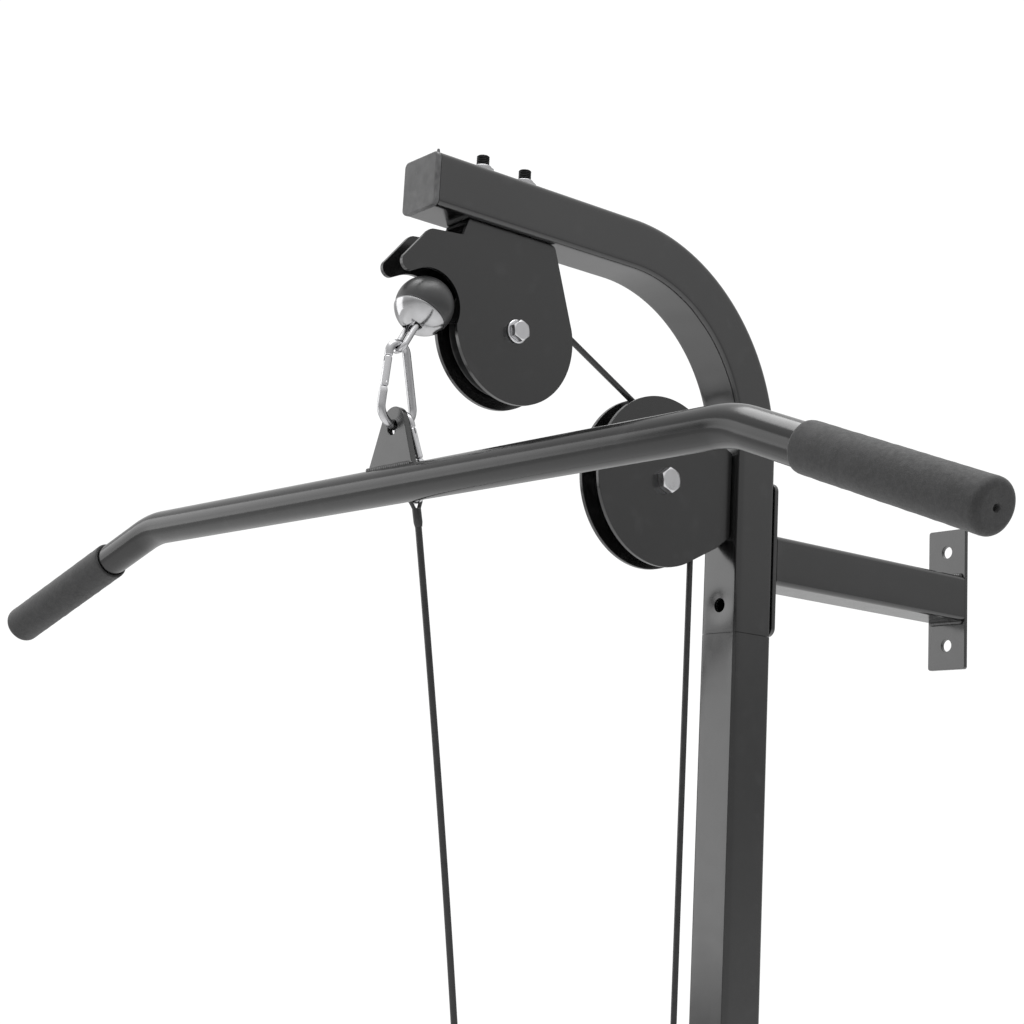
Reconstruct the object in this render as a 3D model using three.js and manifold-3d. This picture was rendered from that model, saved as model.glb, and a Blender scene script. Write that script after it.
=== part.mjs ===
// A single-column cable tower that bolts to a wall: a bent top arm carries two pulleys in
// plate brackets, a plate-loaded carriage slides on the column, and one cable joins it to a
// lat bar. A second cable runs from the lat bar's hook to a low pulley. Millimetres, +Z up.
// -Y is the user's side and +Y the wall. The origin is on the floor, on the column's axis.
import * as THREE from 'three';
import { mergeVertices } from 'three/addons/utils/BufferGeometryUtils.js';
import Module from 'manifold-3d';

const { degToRad } = THREE.MathUtils;
const wasm = await Module();
wasm.setup();

// ---- driving dimensions ----
const GAP = 0.3;                 // clearance between pieces that touch
const TUBE = 50;                 // square frame tube, outside
const WALL = 3;
const TUBE_CORNER = 5;
const HALF = TUBE / 2;
const JOINT_Z = 1725;            // seam between the two column tubes
const ARM_TOP = JOINT_Z + 385;
const ARM_FRONT = -420;          // front face of the arm's end cap
const BEND_R = 178;              // arm bend, on the tube's axis
const CAP_FLANGE = 5;
const BASE_H = TUBE;

const CABLE_R = 3;
const PITCH_R = 49;              // cable's centre line on a pulley
const PULLEY_R = 58;
const PULLEY_W = 18;
const GROOVE_R = PITCH_R - CABLE_R - GAP;
const FRONT_PULLEY = { y: -313.5, z: JOINT_Z + 242 };
const REAR_PULLEY = { y: -116, z: JOINT_Z + 137 };
const LOW_PULLEY = { y: -277, z: 130 };

const PLATE = 4;                 // folded bracket steel
const FRONT_HALF_W = 17;         // half width over the bracket plates
const REAR_HALF_W = 14;
const FRONT_PLATE_R = 68;
const BRACKET_TOP = JOINT_Z + 334.6;
const WEB_Y = [-374, -277];      // front bracket's web, under the arm
const REAR_PLATE_R = 83.6;
const REAR_WEB_Z = [JOINT_Z + 96, JOINT_Z + 179];
const LOW_PLATE_R = 66;
const FRONT_AXLE_R = 5;
const REAR_AXLE_R = 7;
const BEARING_R = 16;
const BEARING_W = 12;

const STUD_R = 6;                // M12 frame bolts
const ARM_BOLT_Y = [-350, -300];
const BOLT_LOW_Z = JOINT_Z + 28;
const BOLT_HIGH_Z = JOINT_Z + 133;
const SPIGOT_REACH = 100;
const ACCESS_HOLE_R = 7.2;       // opposite the lower back plate bolt
const TERMINAL_STUD_R = 5;

const WALL_FACE_Y = 337;         // wall side of both wall plates
const WALL_PLATE_T = 5;
const WALL_PLATE_H = 157;
const WALL_PLATE_Z = JOINT_Z + 1;
const WALL_HOLE_R = 6.75;
const WALL_ARM_Z = JOINT_Z + 79;

const COLUMN_CLEAR = 0.5;        // glide's running gap on the column
const SLEEVE = 65;
const SLEEVE_WALL = 4;
const FLANGE_T = 4;              // glide's flange outside the sleeve
const SLEEVE_Z = [84, 344];
const BUMPER_TOP = 79.5;
const PEG_Z = 300;
const PEG_R = 14;
const PEG_REACH = 300;
const LUG_TOP = 338;
const LUG_T = 8;

const BALL = { y: -405.7, z: JOINT_Z + 248.8 };
const BALL_R = 26.5;
const CUP_R = 27.4;
const CUP_EDGE = 10;
const BALL_TILT = degToRad(28.8);
const EYE_WIRE_R = 2.75;
const EYE_HALF_W = 7.05;

const HOOK_WIRE_R = 3.8;         // snap hooks
const HOOK_TOP_R = 9.5;
const HOOK_LOW_R = 16.7;
const HOOK_SPAN = 48.2;          // between the two end arcs' centres
const HOOK_TOP = { y: -431, z: JOINT_Z + 198.7 };
const HOOK_TILT = degToRad(3.4);
const GATE_FROM = 15;            // along the gate leg, from the wide end
const GATE_TO = 43;

const TAB_Y = -429;
const TAB_T = 6;
const TAB_HOLE_R = 6.5;
const TAB_HOLE_Z = JOINT_Z + 132.4;
const TAB_TOP_R = 15.5;
const TAB_BASE_HALF = 31;
const BAR_Z = JOINT_Z + 81.5;
const BAR_Y = -426.8;
const BAR_R = 16.4;
const BAR_WALL = 2.5;
const BAR_HALF = 391;            // centre to bend
const BAR_END = 242;             // bend to tip
const BAR_DROP = degToRad(21.6);
const BAR_LEAN = degToRad(-12.4); // the ends hang towards the user
const BAR_TURN = degToRad(3.1);
const BAR_BEND_R = 95;
const GRIP_R = 19.2;
const GRIP_LEN = 165;

const LINK_TILT = degToRad(15);
const LINK_TOP = { y: -421.4, z: JOINT_Z + 144.9 };
const ROW_BALL_R = 20;
const ROW_BALL_Y = LOW_PULLEY.y - LOW_PLATE_R - ROW_BALL_R - 1;
const ROW_Z = LOW_PULLEY.z - PITCH_R;

const SIDES = 16;                // facets round a bolt or a bar
const WHEEL_SIDES = 28;
const ARCH_STEPS = 16;

// ---- solids ----
const along = {
  x: new THREE.Matrix4().makeBasis(axis(0, 1, 0), axis(0, 0, 1), axis(1, 0, 0)),
  y: new THREE.Matrix4().makeBasis(axis(1, 0, 0), axis(0, 0, 1), axis(0, -1, 0)),
  z: new THREE.Matrix4(),
};

function axis(x, y, z) {
  return new THREE.Vector3(x, y, z);
}

function signedVolume(points, faces) {
  const [a, b, c] = [axis(0, 0, 0), axis(0, 0, 0), axis(0, 0, 0)];
  let volume = 0;
  for (let i = 0; i < faces.length; i += 3) {
    a.fromArray(points, 3 * faces[i]);
    b.fromArray(points, 3 * faces[i + 1]);
    c.fromArray(points, 3 * faces[i + 2]);
    volume += a.dot(b.cross(c)) / 6;
  }
  return volume;
}

function solid(geometry) {
  const bare = geometry.clone();
  bare.deleteAttribute('normal');
  bare.deleteAttribute('uv');
  const merged = mergeVertices(bare, 1e-3);
  const points = Float32Array.from(merged.attributes.position.array);
  const index = merged.index.array;
  const faces = [];
  for (let i = 0; i < index.length; i += 3) {
    const [a, b, c] = [index[i], index[i + 1], index[i + 2]];
    if (a !== b && b !== c && c !== a) {
      faces.push(a, b, c);
    }
  }
  if (signedVolume(points, faces) < 0) {
    faces.reverse();
  }
  const mesh = { numProp: 3, vertProperties: points, triVerts: Uint32Array.from(faces) };
  return new wasm.Manifold(new wasm.Mesh(mesh));
}

function geometryOf(body) {
  const mesh = body.getMesh();
  const geometry = new THREE.BufferGeometry();
  geometry.setAttribute('position', new THREE.BufferAttribute(mesh.vertProperties, 3));
  geometry.setIndex(new THREE.BufferAttribute(mesh.triVerts, 1));
  geometry.computeVertexNormals();
  return geometry;
}

// A flat outline pushed out between two places on one axis. On x the outline is (y, z),
// on y it is (x, z), and on z it is (x, y).
function slab(direction, outline, from, to, curveSegments = 12) {
  const options = { depth: to - from, bevelEnabled: false, curveSegments };
  const geometry = new THREE.ExtrudeGeometry(outline, options);
  const start = { x: [from, 0, 0], y: [0, to, 0], z: [0, 0, from] }[direction];
  geometry.applyMatrix4(along[direction]);
  geometry.translate(...start);
  return solid(geometry);
}

function block(x, y, z) {
  const geometry = new THREE.BoxGeometry(x[1] - x[0], y[1] - y[0], z[1] - z[0]);
  geometry.translate((x[0] + x[1]) / 2, (y[0] + y[1]) / 2, (z[0] + z[1]) / 2);
  return solid(geometry);
}

// A round bar on one axis. centre gives the two coordinates across that axis.
function rod(direction, radius, centre, from, to, sides = SIDES) {
  return slab(direction, ngon(radius, sides, centre), from, to);
}

function ngon(radius, sides, centre = [0, 0], turn = 0) {
  const corners = [];
  for (let i = 0; i < sides; i += 1) {
    const angle = turn + (2 * Math.PI * i) / sides;
    const u = centre[0] + radius * Math.cos(angle);
    const v = centre[1] + radius * Math.sin(angle);
    corners.push(new THREE.Vector2(u, v));
  }
  return new THREE.Shape(corners);
}

function hexagon(acrossFlats, centre, turn = 0) {
  return ngon(acrossFlats / Math.sqrt(3), 6, centre, turn);
}

function roundedRect(width, height, radius, centre = [0, 0]) {
  const [w, h, r] = [width / 2, height / 2, radius];
  const [u, v] = centre;
  const shape = new THREE.Shape();
  shape.absarc(u + w - r, v + h - r, r, 0, Math.PI / 2);
  shape.absarc(u - w + r, v + h - r, r, Math.PI / 2, Math.PI);
  shape.absarc(u - w + r, v - h + r, r, Math.PI, 1.5 * Math.PI);
  shape.absarc(u + w - r, v - h + r, r, 1.5 * Math.PI, 2 * Math.PI);
  return shape;
}

// A profile of [radius, height] points turned about Z, from the axis to the axis.
function turned(profile, sides = SIDES) {
  const points = profile.map(([r, h]) => new THREE.Vector2(r, h));
  const geometry = new THREE.LatheGeometry(points, sides);
  geometry.rotateX(Math.PI / 2);
  return solid(geometry);
}

function turnedOnX(profile, y, z, sides = SIDES) {
  const points = profile.map(([r, h]) => new THREE.Vector2(r, h));
  const geometry = new THREE.LatheGeometry(points, sides);
  geometry.rotateZ(-Math.PI / 2);
  geometry.translate(0, y, z);
  return solid(geometry);
}

// A path drawn in a plane and placed in space by a function of its two coordinates. It has
// one stretch on each straight run and arcSteps on each curved one.
class Route extends THREE.Curve {
  constructor(path, arcSteps, place) {
    super();
    this.place = place;
    this.stations = [];
    for (const curve of path.curves.filter((c) => c.getLength() > 1e-6)) {
      const steps = curve.isLineCurve ? 1 : arcSteps;
      const first = this.stations.length ? 1 : 0;
      for (let i = first; i <= steps; i += 1) {
        this.stations.push({ curve, t: i / steps });
      }
    }
  }

  get steps() {
    return this.stations.length - 1;
  }

  getPointAt(u, target = new THREE.Vector3()) {
    const { curve, t } = this.stations[Math.round(u * this.steps)];
    const p = curve.getPoint(t);
    return target.copy(this.place(p.x, p.y));
  }

  getTangentAt(u, target = new THREE.Vector3()) {
    const { curve, t } = this.stations[Math.round(u * this.steps)];
    const p = curve.getPoint(t);
    const way = curve.getTangent(t);
    const ahead = this.place(p.x + way.x, p.y + way.y);
    return target.copy(ahead.sub(this.place(p.x, p.y)).normalize());
  }
}

function sweep(section, path, arcSteps, place = (u, v) => axis(0, u, v)) {
  const route = new Route(path, arcSteps, place);
  const options = { extrudePath: route, steps: route.steps, bevelEnabled: false, curveSegments: 1 };
  return solid(new THREE.ExtrudeGeometry(section, options));
}

function squareTubeZ(from, to, size = TUBE, wall = WALL, corner = TUBE_CORNER) {
  const outer = slab('z', roundedRect(size, size, corner), from, to, 1);
  const inner = size - 2 * wall;
  const bore = slab('z', roundedRect(inner, inner, Math.max(corner - wall, 1)), from - 1, to + 1, 1);
  return outer.subtract(bore);
}

function squareTubeY(from, to, z) {
  const outer = slab('y', roundedRect(TUBE, TUBE, TUBE_CORNER, [0, z]), from, to, 1);
  const inner = TUBE - 2 * WALL;
  return outer.subtract(slab('y', roundedRect(inner, inner, 2, [0, z]), from - 1, to + 1, 1));
}

function squareTubeX(from, to, y, z) {
  const outer = slab('x', roundedRect(TUBE, TUBE, TUBE_CORNER, [y, z]), from, to, 1);
  const inner = TUBE - 2 * WALL;
  return outer.subtract(slab('x', roundedRect(inner, inner, 2, [y, z]), from - 1, to + 1, 1));
}

// ---- materials and nodes ----
const finish = {
  frame: { color: 0x3d3d3d, roughness: 0.35, metalness: 0.3 },
  bracket: { color: 0x3f3f3f, roughness: 0.45, metalness: 0.3 },
  bar: { color: 0x404040, roughness: 0.25, metalness: 0.3 },
  zinc: { color: 0xb4b6b8, roughness: 0.35, metalness: 1 },
  chrome: { color: 0xd8d8d8, roughness: 0.12, metalness: 1 },
  rubber: { color: 0x1c1c1c, roughness: 0.55, metalness: 0 },
  plastic: { color: 0x242424, roughness: 0.45, metalness: 0 },
  cap: { color: 0x5c5c5c, roughness: 0.6, metalness: 0 },
  foam: { color: 0x2b2b2b, roughness: 0.9, metalness: 0 },
  cable: { color: 0x202020, roughness: 0.4, metalness: 0 },
};

const tower = new THREE.Group();

function node(name, body, look, parent = tower) {
  const mesh = new THREE.Mesh(geometryOf(body), new THREE.MeshStandardMaterial(finish[look]));
  mesh.name = name;
  parent.add(mesh);
  return mesh;
}

// ---- frame ----
function archPath(front, bottom) {
  const top = ARM_TOP - HALF;
  const path = new THREE.Path();
  path.moveTo(front, top);
  path.lineTo(-BEND_R, top);
  path.absarc(-BEND_R, top - BEND_R, BEND_R, Math.PI / 2, 0, true);
  path.lineTo(0, bottom);
  return path;
}

function upperFrame() {
  const front = ARM_FRONT + CAP_FLANGE + GAP;
  const inner = TUBE - 2 * WALL;
  let body = sweep(roundedRect(TUBE, TUBE, TUBE_CORNER), archPath(front, JOINT_Z + GAP), ARCH_STEPS);
  const bore = sweep(roundedRect(inner, inner, 2), archPath(front - 1, JOINT_Z - 1), ARCH_STEPS);
  body = body.subtract(bore);
  for (const y of ARM_BOLT_Y) {
    body = body.subtract(rod('z', STUD_R + GAP, [0, y], ARM_TOP - TUBE - 5, ARM_TOP + 5));
  }
  body = body.subtract(rod('y', STUD_R + GAP, [0, BOLT_HIGH_Z], -HALF - 5, HALF + 5));
  body = body.subtract(rod('y', STUD_R + GAP, [0, BOLT_LOW_Z], 0, HALF + 5));
  return body.subtract(rod('y', ACCESS_HOLE_R, [0, BOLT_LOW_Z], -HALF - 5, 0));
}

function armEndCap() {
  const tubeEnd = ARM_FRONT + CAP_FLANGE;
  const mid = ARM_TOP - HALF;
  const plug = TUBE - 2 * WALL - 2 * GAP;
  const flange = slab('y', roundedRect(TUBE + 1, TUBE + 1, 6, [0, mid]), ARM_FRONT, tubeEnd, 2);
  return flange.add(slab('y', roundedRect(plug, plug, 2, [0, mid]), tubeEnd - 1, tubeEnd + 22, 1));
}

function jointSpigot() {
  const size = TUBE - 2 * WALL - 2 * GAP;
  let body = squareTubeZ(JOINT_Z - SPIGOT_REACH, JOINT_Z + SPIGOT_REACH, size, WALL, 2);
  body = body.subtract(rod('y', ACCESS_HOLE_R, [0, BOLT_LOW_Z], -HALF, 0));
  return body.subtract(rod('y', STUD_R + GAP, [0, BOLT_LOW_Z], 0, HALF));
}

function lowerColumn() {
  return squareTubeZ(BASE_H + GAP, JOINT_Z - GAP);
}

function baseBeam() {
  const front = -450 + GAP;
  const plateFront = WALL_FACE_Y - WALL_PLATE_T;
  let body = squareTubeY(front, plateFront, BASE_H / 2);
  const outline = roundedRect(WALL_PLATE_H, TUBE, 6, [0, BASE_H / 2]);
  body = body.add(slab('y', outline, plateFront, WALL_FACE_Y, 3));
  for (const x of [-54, 54]) {
    body = body.subtract(rod('y', WALL_HOLE_R, [x, BASE_H / 2], plateFront - 5, WALL_FACE_Y + 5));
  }
  return body.subtract(rod('y', 8, [0, BASE_H / 2], plateFront - 1, WALL_FACE_Y + 1));
}

function foot(halfLength, y) {
  return squareTubeX(-halfLength, halfLength, y, BASE_H / 2);
}

// Half of a cross foot on each side of the beam would be two pieces, so the rear foot
// lies on the floor in two halves joined by a bridge over the beam.
function rearFoot(halfLength, y) {
  const body = squareTubeX(-halfLength, halfLength, y, BASE_H / 2);
  const beamRoom = block([-HALF - GAP, HALF + GAP], [y - 40, y + 40], [-1, BASE_H + GAP]);
  const bridge = block([-HALF - 12, HALF + 12], [y - HALF, y + HALF], [BASE_H - 4, BASE_H + 6]);
  return body.add(bridge).subtract(beamRoom);
}

// ---- wall bracket ----
function wallPlate(from, to, holeR, corner) {
  const centre = [0, WALL_PLATE_Z + WALL_PLATE_H / 2];
  let body = slab('y', roundedRect(TUBE, WALL_PLATE_H, corner, centre), from, to, 4);
  for (const z of [BOLT_LOW_Z, BOLT_HIGH_Z]) {
    body = body.subtract(rod('y', holeR, [0, z], from - 5, to + 5));
  }
  return body;
}

function addWallBracket() {
  const plateBack = HALF + GAP + WALL_PLATE_T;
  const wallFront = WALL_FACE_Y - WALL_PLATE_T;
  node('column_back_plate', wallPlate(HALF + GAP, plateBack, STUD_R + GAP, 9), 'frame');
  node('wall_arm', squareTubeY(plateBack + GAP, wallFront - GAP, WALL_ARM_Z), 'frame');
  node('wall_plate', wallPlate(wallFront, WALL_FACE_Y, WALL_HOLE_R, 3), 'frame');
}

// ---- pulley brackets ----
function frontOutline() {
  const { y, z } = FRONT_PULLEY;
  const top = BRACKET_TOP;
  const [webFront, webBack] = WEB_Y;
  const seat = { y: -410.6, z: JOINT_Z + 246.9, r: 32.1 };
  const nose = { y: -436.4, z: JOINT_Z + 279, r: 8 };
  const apart = Math.hypot(y - seat.y, z - seat.z);
  const slope = Math.atan2(z - seat.z, y - seat.y);
  const reach = (seat.r ** 2 + apart ** 2 - FRONT_PLATE_R ** 2) / (2 * seat.r * apart);
  const meet = slope - Math.acos(reach);
  const rimEnd = Math.atan2(seat.z + seat.r * Math.sin(meet) - z, seat.y + seat.r * Math.cos(meet) - y);
  const shape = new THREE.Shape();
  shape.moveTo(webFront, top);
  shape.lineTo(webBack, top);
  shape.quadraticCurveTo(-272.8, top, -271.6, top - 4);
  shape.absarc(y, z, FRONT_PLATE_R, degToRad(13), rimEnd, true);
  shape.absarc(seat.y, seat.z, seat.r, meet, degToRad(118));
  shape.absarc(nose.y, nose.z, nose.r, degToRad(-68), degToRad(-228), true);
  shape.lineTo(-419.5, JOINT_Z + 311.5);
  shape.quadraticCurveTo(-415.5, JOINT_Z + 315, -410, JOINT_Z + 315.4);
  shape.lineTo(-380, JOINT_Z + 318);
  shape.closePath();
  return shape;
}

function frontBracket() {
  const w = FRONT_HALF_W;
  const outline = frontOutline();
  const top = BRACKET_TOP;
  let body = slab('x', outline, w - PLATE, w, 12).add(slab('x', outline, -w, -w + PLATE, 12));
  body = body.add(block([-w, w], WEB_Y, [top - PLATE, top]));
  for (const y of ARM_BOLT_Y) {
    body = body.subtract(rod('z', STUD_R + GAP, [0, y], top - 10, top + 5));
  }
  const hole = [FRONT_PULLEY.y, FRONT_PULLEY.z];
  return body.subtract(rod('x', FRONT_AXLE_R + GAP, hole, -w - 5, w + 5));
}

function rearOutline() {
  const back = -HALF - GAP;
  const [low, high] = REAR_WEB_Z;
  const centre = { y: -120, z: JOINT_Z + 136 };
  const shape = new THREE.Shape();
  shape.moveTo(back, low);
  shape.lineTo(back, high);
  shape.absarc(centre.y, centre.z, REAR_PLATE_R, degToRad(46), degToRad(-66), false);
  shape.lineTo(-45, low - 15);
  shape.closePath();
  return shape;
}

function rearBracket() {
  const w = REAR_HALF_W;
  const back = -HALF - GAP;
  const outline = rearOutline();
  let body = slab('x', outline, w - PLATE, w, 22).add(slab('x', outline, -w, -w + PLATE, 22));
  body = body.add(block([-w, w], [back - PLATE, back], REAR_WEB_Z));
  body = body.subtract(rod('y', STUD_R + GAP, [0, BOLT_HIGH_Z], back - 10, back + 5));
  const hole = [REAR_PULLEY.y, REAR_PULLEY.z];
  return body.subtract(rod('x', REAR_AXLE_R + GAP, hole, -w - 5, w + 5));
}

function lowBracket() {
  const w = REAR_HALF_W;
  const { y, z } = LOW_PULLEY;
  const floor = BASE_H + GAP;
  const shape = new THREE.Shape();
  shape.moveTo(y + 60, floor);
  shape.lineTo(y + LOW_PLATE_R, floor + 40);
  shape.absarc(y, z, LOW_PLATE_R, 0, Math.PI, false);
  shape.lineTo(y - LOW_PLATE_R, floor + 50);
  shape.lineTo(y - 30, floor);
  shape.closePath();
  let body = slab('x', shape, w - PLATE, w, 20).add(slab('x', shape, -w, -w + PLATE, 20));
  body = body.add(block([-w, w], [y - 30, y + 60], [floor, floor + PLATE]));
  return body.subtract(rod('x', REAR_AXLE_R + GAP, [y, z], -w - 5, w + 5));
}

// ---- pulleys ----
function pulley(place) {
  const half = PULLEY_W / 2;
  const bore = BEARING_R + GAP;
  const profile = [
    [bore, -7],
    [24, -7],
    [30, -half],
    [PULLEY_R, -half],
    [PULLEY_R, -half + 1.5],
    [GROOVE_R, -3.6],
    [GROOVE_R, 3.6],
    [PULLEY_R, half - 1.5],
    [PULLEY_R, half],
    [30, half],
    [24, 7],
    [bore, 7],
    [bore, -7],
  ];
  return turnedOnX(profile, place.y, place.z, WHEEL_SIDES);
}

function bearing(place, axleR) {
  const half = BEARING_W / 2;
  const inner = axleR + GAP;
  const profile = [
    [inner, -half],
    [BEARING_R, -half],
    [BEARING_R, half],
    [inner, half],
    [inner, -half],
  ];
  return turnedOnX(profile, place.y, place.z);
}

function axleBolt(place, radius, acrossFlats, headT, grip, headGap) {
  const centre = [place.y, place.z];
  const face = grip + headGap;
  const head = slab('x', hexagon(acrossFlats, centre, 0.4), face, face + headT);
  return head.add(rod('x', radius, centre, -grip - 1.4 * radius - 6, face + 1));
}

function axleNut(place, radius, acrossFlats, grip) {
  const centre = [place.y, place.z];
  const from = -grip - GAP - 1.3 * radius;
  const body = slab('x', hexagon(acrossFlats, centre), from, -grip - GAP);
  return body.subtract(rod('x', radius + GAP, centre, from - 5, -grip + 5));
}

function frontWasher() {
  const centre = [FRONT_PULLEY.y, FRONT_PULLEY.z];
  const from = FRONT_HALF_W + GAP;
  const body = rod('x', 11, centre, from, from + 2);
  return body.subtract(rod('x', FRONT_AXLE_R + GAP, centre, from - 5, from + 5));
}

function addPulleySets() {
  const front = FRONT_PULLEY;
  const rear = REAR_PULLEY;
  const low = LOW_PULLEY;
  node('front_pulley', pulley(front), 'plastic');
  node('rear_pulley', pulley(rear), 'plastic');
  node('low_pulley', pulley(low), 'plastic');
  node('front_pulley_bearing', bearing(front, FRONT_AXLE_R), 'zinc');
  node('rear_pulley_bearing', bearing(rear, REAR_AXLE_R), 'zinc');
  node('low_pulley_bearing', bearing(low, REAR_AXLE_R), 'zinc');
  node('front_axle_bolt', axleBolt(front, FRONT_AXLE_R, 17, 6.4, FRONT_HALF_W, 2 + 2 * GAP), 'zinc');
  node('front_axle_washer', frontWasher(), 'zinc');
  node('front_axle_nut', axleNut(front, FRONT_AXLE_R, 17, FRONT_HALF_W), 'zinc');
  node('rear_axle_bolt', axleBolt(rear, REAR_AXLE_R, 22, 8, REAR_HALF_W, GAP), 'zinc');
  node('rear_axle_nut', axleNut(rear, REAR_AXLE_R, 22, REAR_HALF_W), 'zinc');
  node('low_axle_bolt', axleBolt(low, REAR_AXLE_R, 22, 8, REAR_HALF_W, GAP), 'zinc');
  node('low_axle_nut', axleNut(low, REAR_AXLE_R, 22, REAR_HALF_W), 'zinc');
}

// ---- frame bolts ----
function armBolt(y) {
  const seat = BRACKET_TOP - PLATE - GAP;
  const head = slab('z', hexagon(19, [0, y]), seat - 7.5, seat);
  return head.add(rod('z', STUD_R, [0, y], seat - 1, ARM_TOP + 20.5));
}

function armNut(y) {
  const centre = [0, y];
  const low = ARM_TOP + GAP;
  const bore = rod('z', STUD_R + GAP, centre, low - 5, low + 30);
  const collar = rod('z', 8.6, centre, low + 9, low + 14);
  return slab('z', hexagon(19, centre, 0.35), low, low + 10).add(collar).subtract(bore);
}

function rearBracketBolt() {
  const seat = -HALF - 2 * GAP - PLATE;
  const centre = [0, BOLT_HIGH_Z];
  const head = slab('y', hexagon(19, centre, Math.PI / 6), seat - 7.5, seat);
  return head.add(rod('y', STUD_R, centre, seat - 1, HALF + WALL_PLATE_T + 16));
}

function rearBracketNut() {
  const from = HALF + WALL_PLATE_T + 2 * GAP;
  const centre = [0, BOLT_HIGH_Z];
  const body = slab('y', hexagon(19, centre), from, from + 10);
  return body.subtract(rod('y', STUD_R + GAP, centre, from - 5, from + 15));
}

function backPlateBolt() {
  const seat = HALF + WALL_PLATE_T + 2 * GAP;
  const centre = [0, BOLT_LOW_Z];
  const head = slab('y', hexagon(19, centre), seat, seat + 7.5);
  return head.add(rod('y', STUD_R, centre, -6, seat + 1));
}

// ---- carriage ----
function carriageSleeve() {
  const [low, high] = SLEEVE_Z;
  const front = -SLEEVE / 2;
  const cable = REAR_PULLEY.y + PITCH_R;
  let body = squareTubeZ(low, high, SLEEVE, SLEEVE_WALL, 7);
  body = body.add(block([-18, 18], [-86, front + 2], [LUG_TOP - LUG_T, LUG_TOP]));
  const gusset = new THREE.Shape();
  gusset.moveTo(front + 2, LUG_TOP - 2);
  gusset.lineTo(-78, LUG_TOP - 2);
  gusset.lineTo(front + 2, LUG_TOP - 55);
  body = body.add(slab('x', gusset, 12, 17)).add(slab('x', gusset, -17, -12));
  const stud = rod('z', TERMINAL_STUD_R + 2 * GAP, [0, cable], LUG_TOP - 30, LUG_TOP + 10);
  return body.subtract(stud);
}

function glide(flangeAt, other) {
  const inner = TUBE + 2 * COLUMN_CLEAR;
  const outer = SLEEVE - 2 * SLEEVE_WALL - 2 * GAP;
  const flangeFrom = flangeAt > other ? flangeAt : flangeAt - FLANGE_T;
  const [low, high] = [Math.min(flangeAt, other), Math.max(flangeAt, other)];
  const ring = slab('z', roundedRect(outer, outer, 3), low, high, 1);
  const flange = slab('z', roundedRect(SLEEVE, SLEEVE, 7), flangeFrom, flangeFrom + FLANGE_T, 2);
  const bore = slab('z', roundedRect(inner, inner, TUBE_CORNER), low - 20, high + 20, 1);
  return ring.add(flange).subtract(bore);
}

function weightPeg(side) {
  const root = SLEEVE / 2 + GAP;
  const span = (from, to) => (side > 0 ? [from, to] : [-to, -from]);
  const centre = [0, PEG_Z];
  let body = rod('x', PEG_R, centre, ...span(root, PEG_REACH));
  body = body.add(rod('x', 24, centre, ...span(root, root + 8)));
  body = body.add(rod('x', 50, centre, ...span(70, 76), WHEEL_SIDES));
  return body.add(rod('x', PEG_R + 1.5, centre, ...span(PEG_REACH - 1, PEG_REACH + 6)));
}

function cableTerminal() {
  const y = REAR_PULLEY.y + PITCH_R;
  const profile = [
    [0, 296],
    [TERMINAL_STUD_R, 296],
    [TERMINAL_STUD_R, LUG_TOP + GAP],
    [8, LUG_TOP + GAP],
    [8, LUG_TOP + 8],
    [6, LUG_TOP + 12],
    [6, LUG_TOP + 52],
    [4, LUG_TOP + 56],
    [0, LUG_TOP + 56],
  ];
  return turned(profile).translate([0, y, 0]);
}

function terminalNut() {
  const centre = [0, REAR_PULLEY.y + PITCH_R];
  const top = LUG_TOP - LUG_T - GAP;
  const body = slab('z', hexagon(17, centre), top - 8.5, top);
  return body.subtract(rod('z', TERMINAL_STUD_R + GAP, centre, top - 20, top + 5));
}

function columnBumper() {
  const inner = TUBE + 2 * GAP;
  const outer = slab('z', roundedRect(SLEEVE + 6, SLEEVE + 6, 9), BASE_H + GAP, BUMPER_TOP, 2);
  return outer.subtract(slab('z', roundedRect(inner, inner, TUBE_CORNER), 0, 200, 1));
}

function addCarriage() {
  const [low, high] = SLEEVE_Z;
  node('carriage_sleeve', carriageSleeve(), 'frame');
  node('carriage_glide_upper', glide(high + GAP, high - 38), 'plastic');
  node('carriage_glide_lower', glide(low - GAP, low + 38), 'plastic');
  node('weight_peg_left', weightPeg(-1), 'zinc');
  node('weight_peg_right', weightPeg(1), 'zinc');
  node('cable_terminal', cableTerminal(), 'zinc');
  node('cable_terminal_nut', terminalNut(), 'zinc');
}

// ---- cables ----
function cableSection() {
  return ngon(CABLE_R, 8, [0, 0], Math.PI / 8);
}

function ballApproach() {
  const dy = FRONT_PULLEY.y - BALL.y;
  const dz = FRONT_PULLEY.z - BALL.z;
  return Math.atan2(dz, dy) + Math.asin(PITCH_R / Math.hypot(dy, dz));
}

function upperCable() {
  const start = Math.PI / 2 + ballApproach();
  const fall = Math.atan2(REAR_PULLEY.z - FRONT_PULLEY.z, REAR_PULLEY.y - FRONT_PULLEY.y);
  const off = Math.PI / 2 + fall;
  const path = new THREE.Path();
  path.absarc(FRONT_PULLEY.y, FRONT_PULLEY.z, PITCH_R, start, off, true);
  path.absarc(REAR_PULLEY.y, REAR_PULLEY.z, PITCH_R, off, 0, true);
  return sweep(cableSection(), path, 12);
}

function latCableDrop() {
  const lift = ballApproach();
  const way = [Math.cos(lift), Math.sin(lift)];
  const contact = Math.PI / 2 + lift;
  const y = FRONT_PULLEY.y + PITCH_R * Math.cos(contact);
  const z = FRONT_PULLEY.z + PITCH_R * Math.sin(contact);
  const path = new THREE.Path();
  path.moveTo(y - GAP * way[0], z - GAP * way[1]);
  path.lineTo(BALL.y + (BALL_R + GAP) * way[0], BALL.z + (BALL_R + GAP) * way[1]);
  return sweep(cableSection(), path, 1);
}

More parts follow.
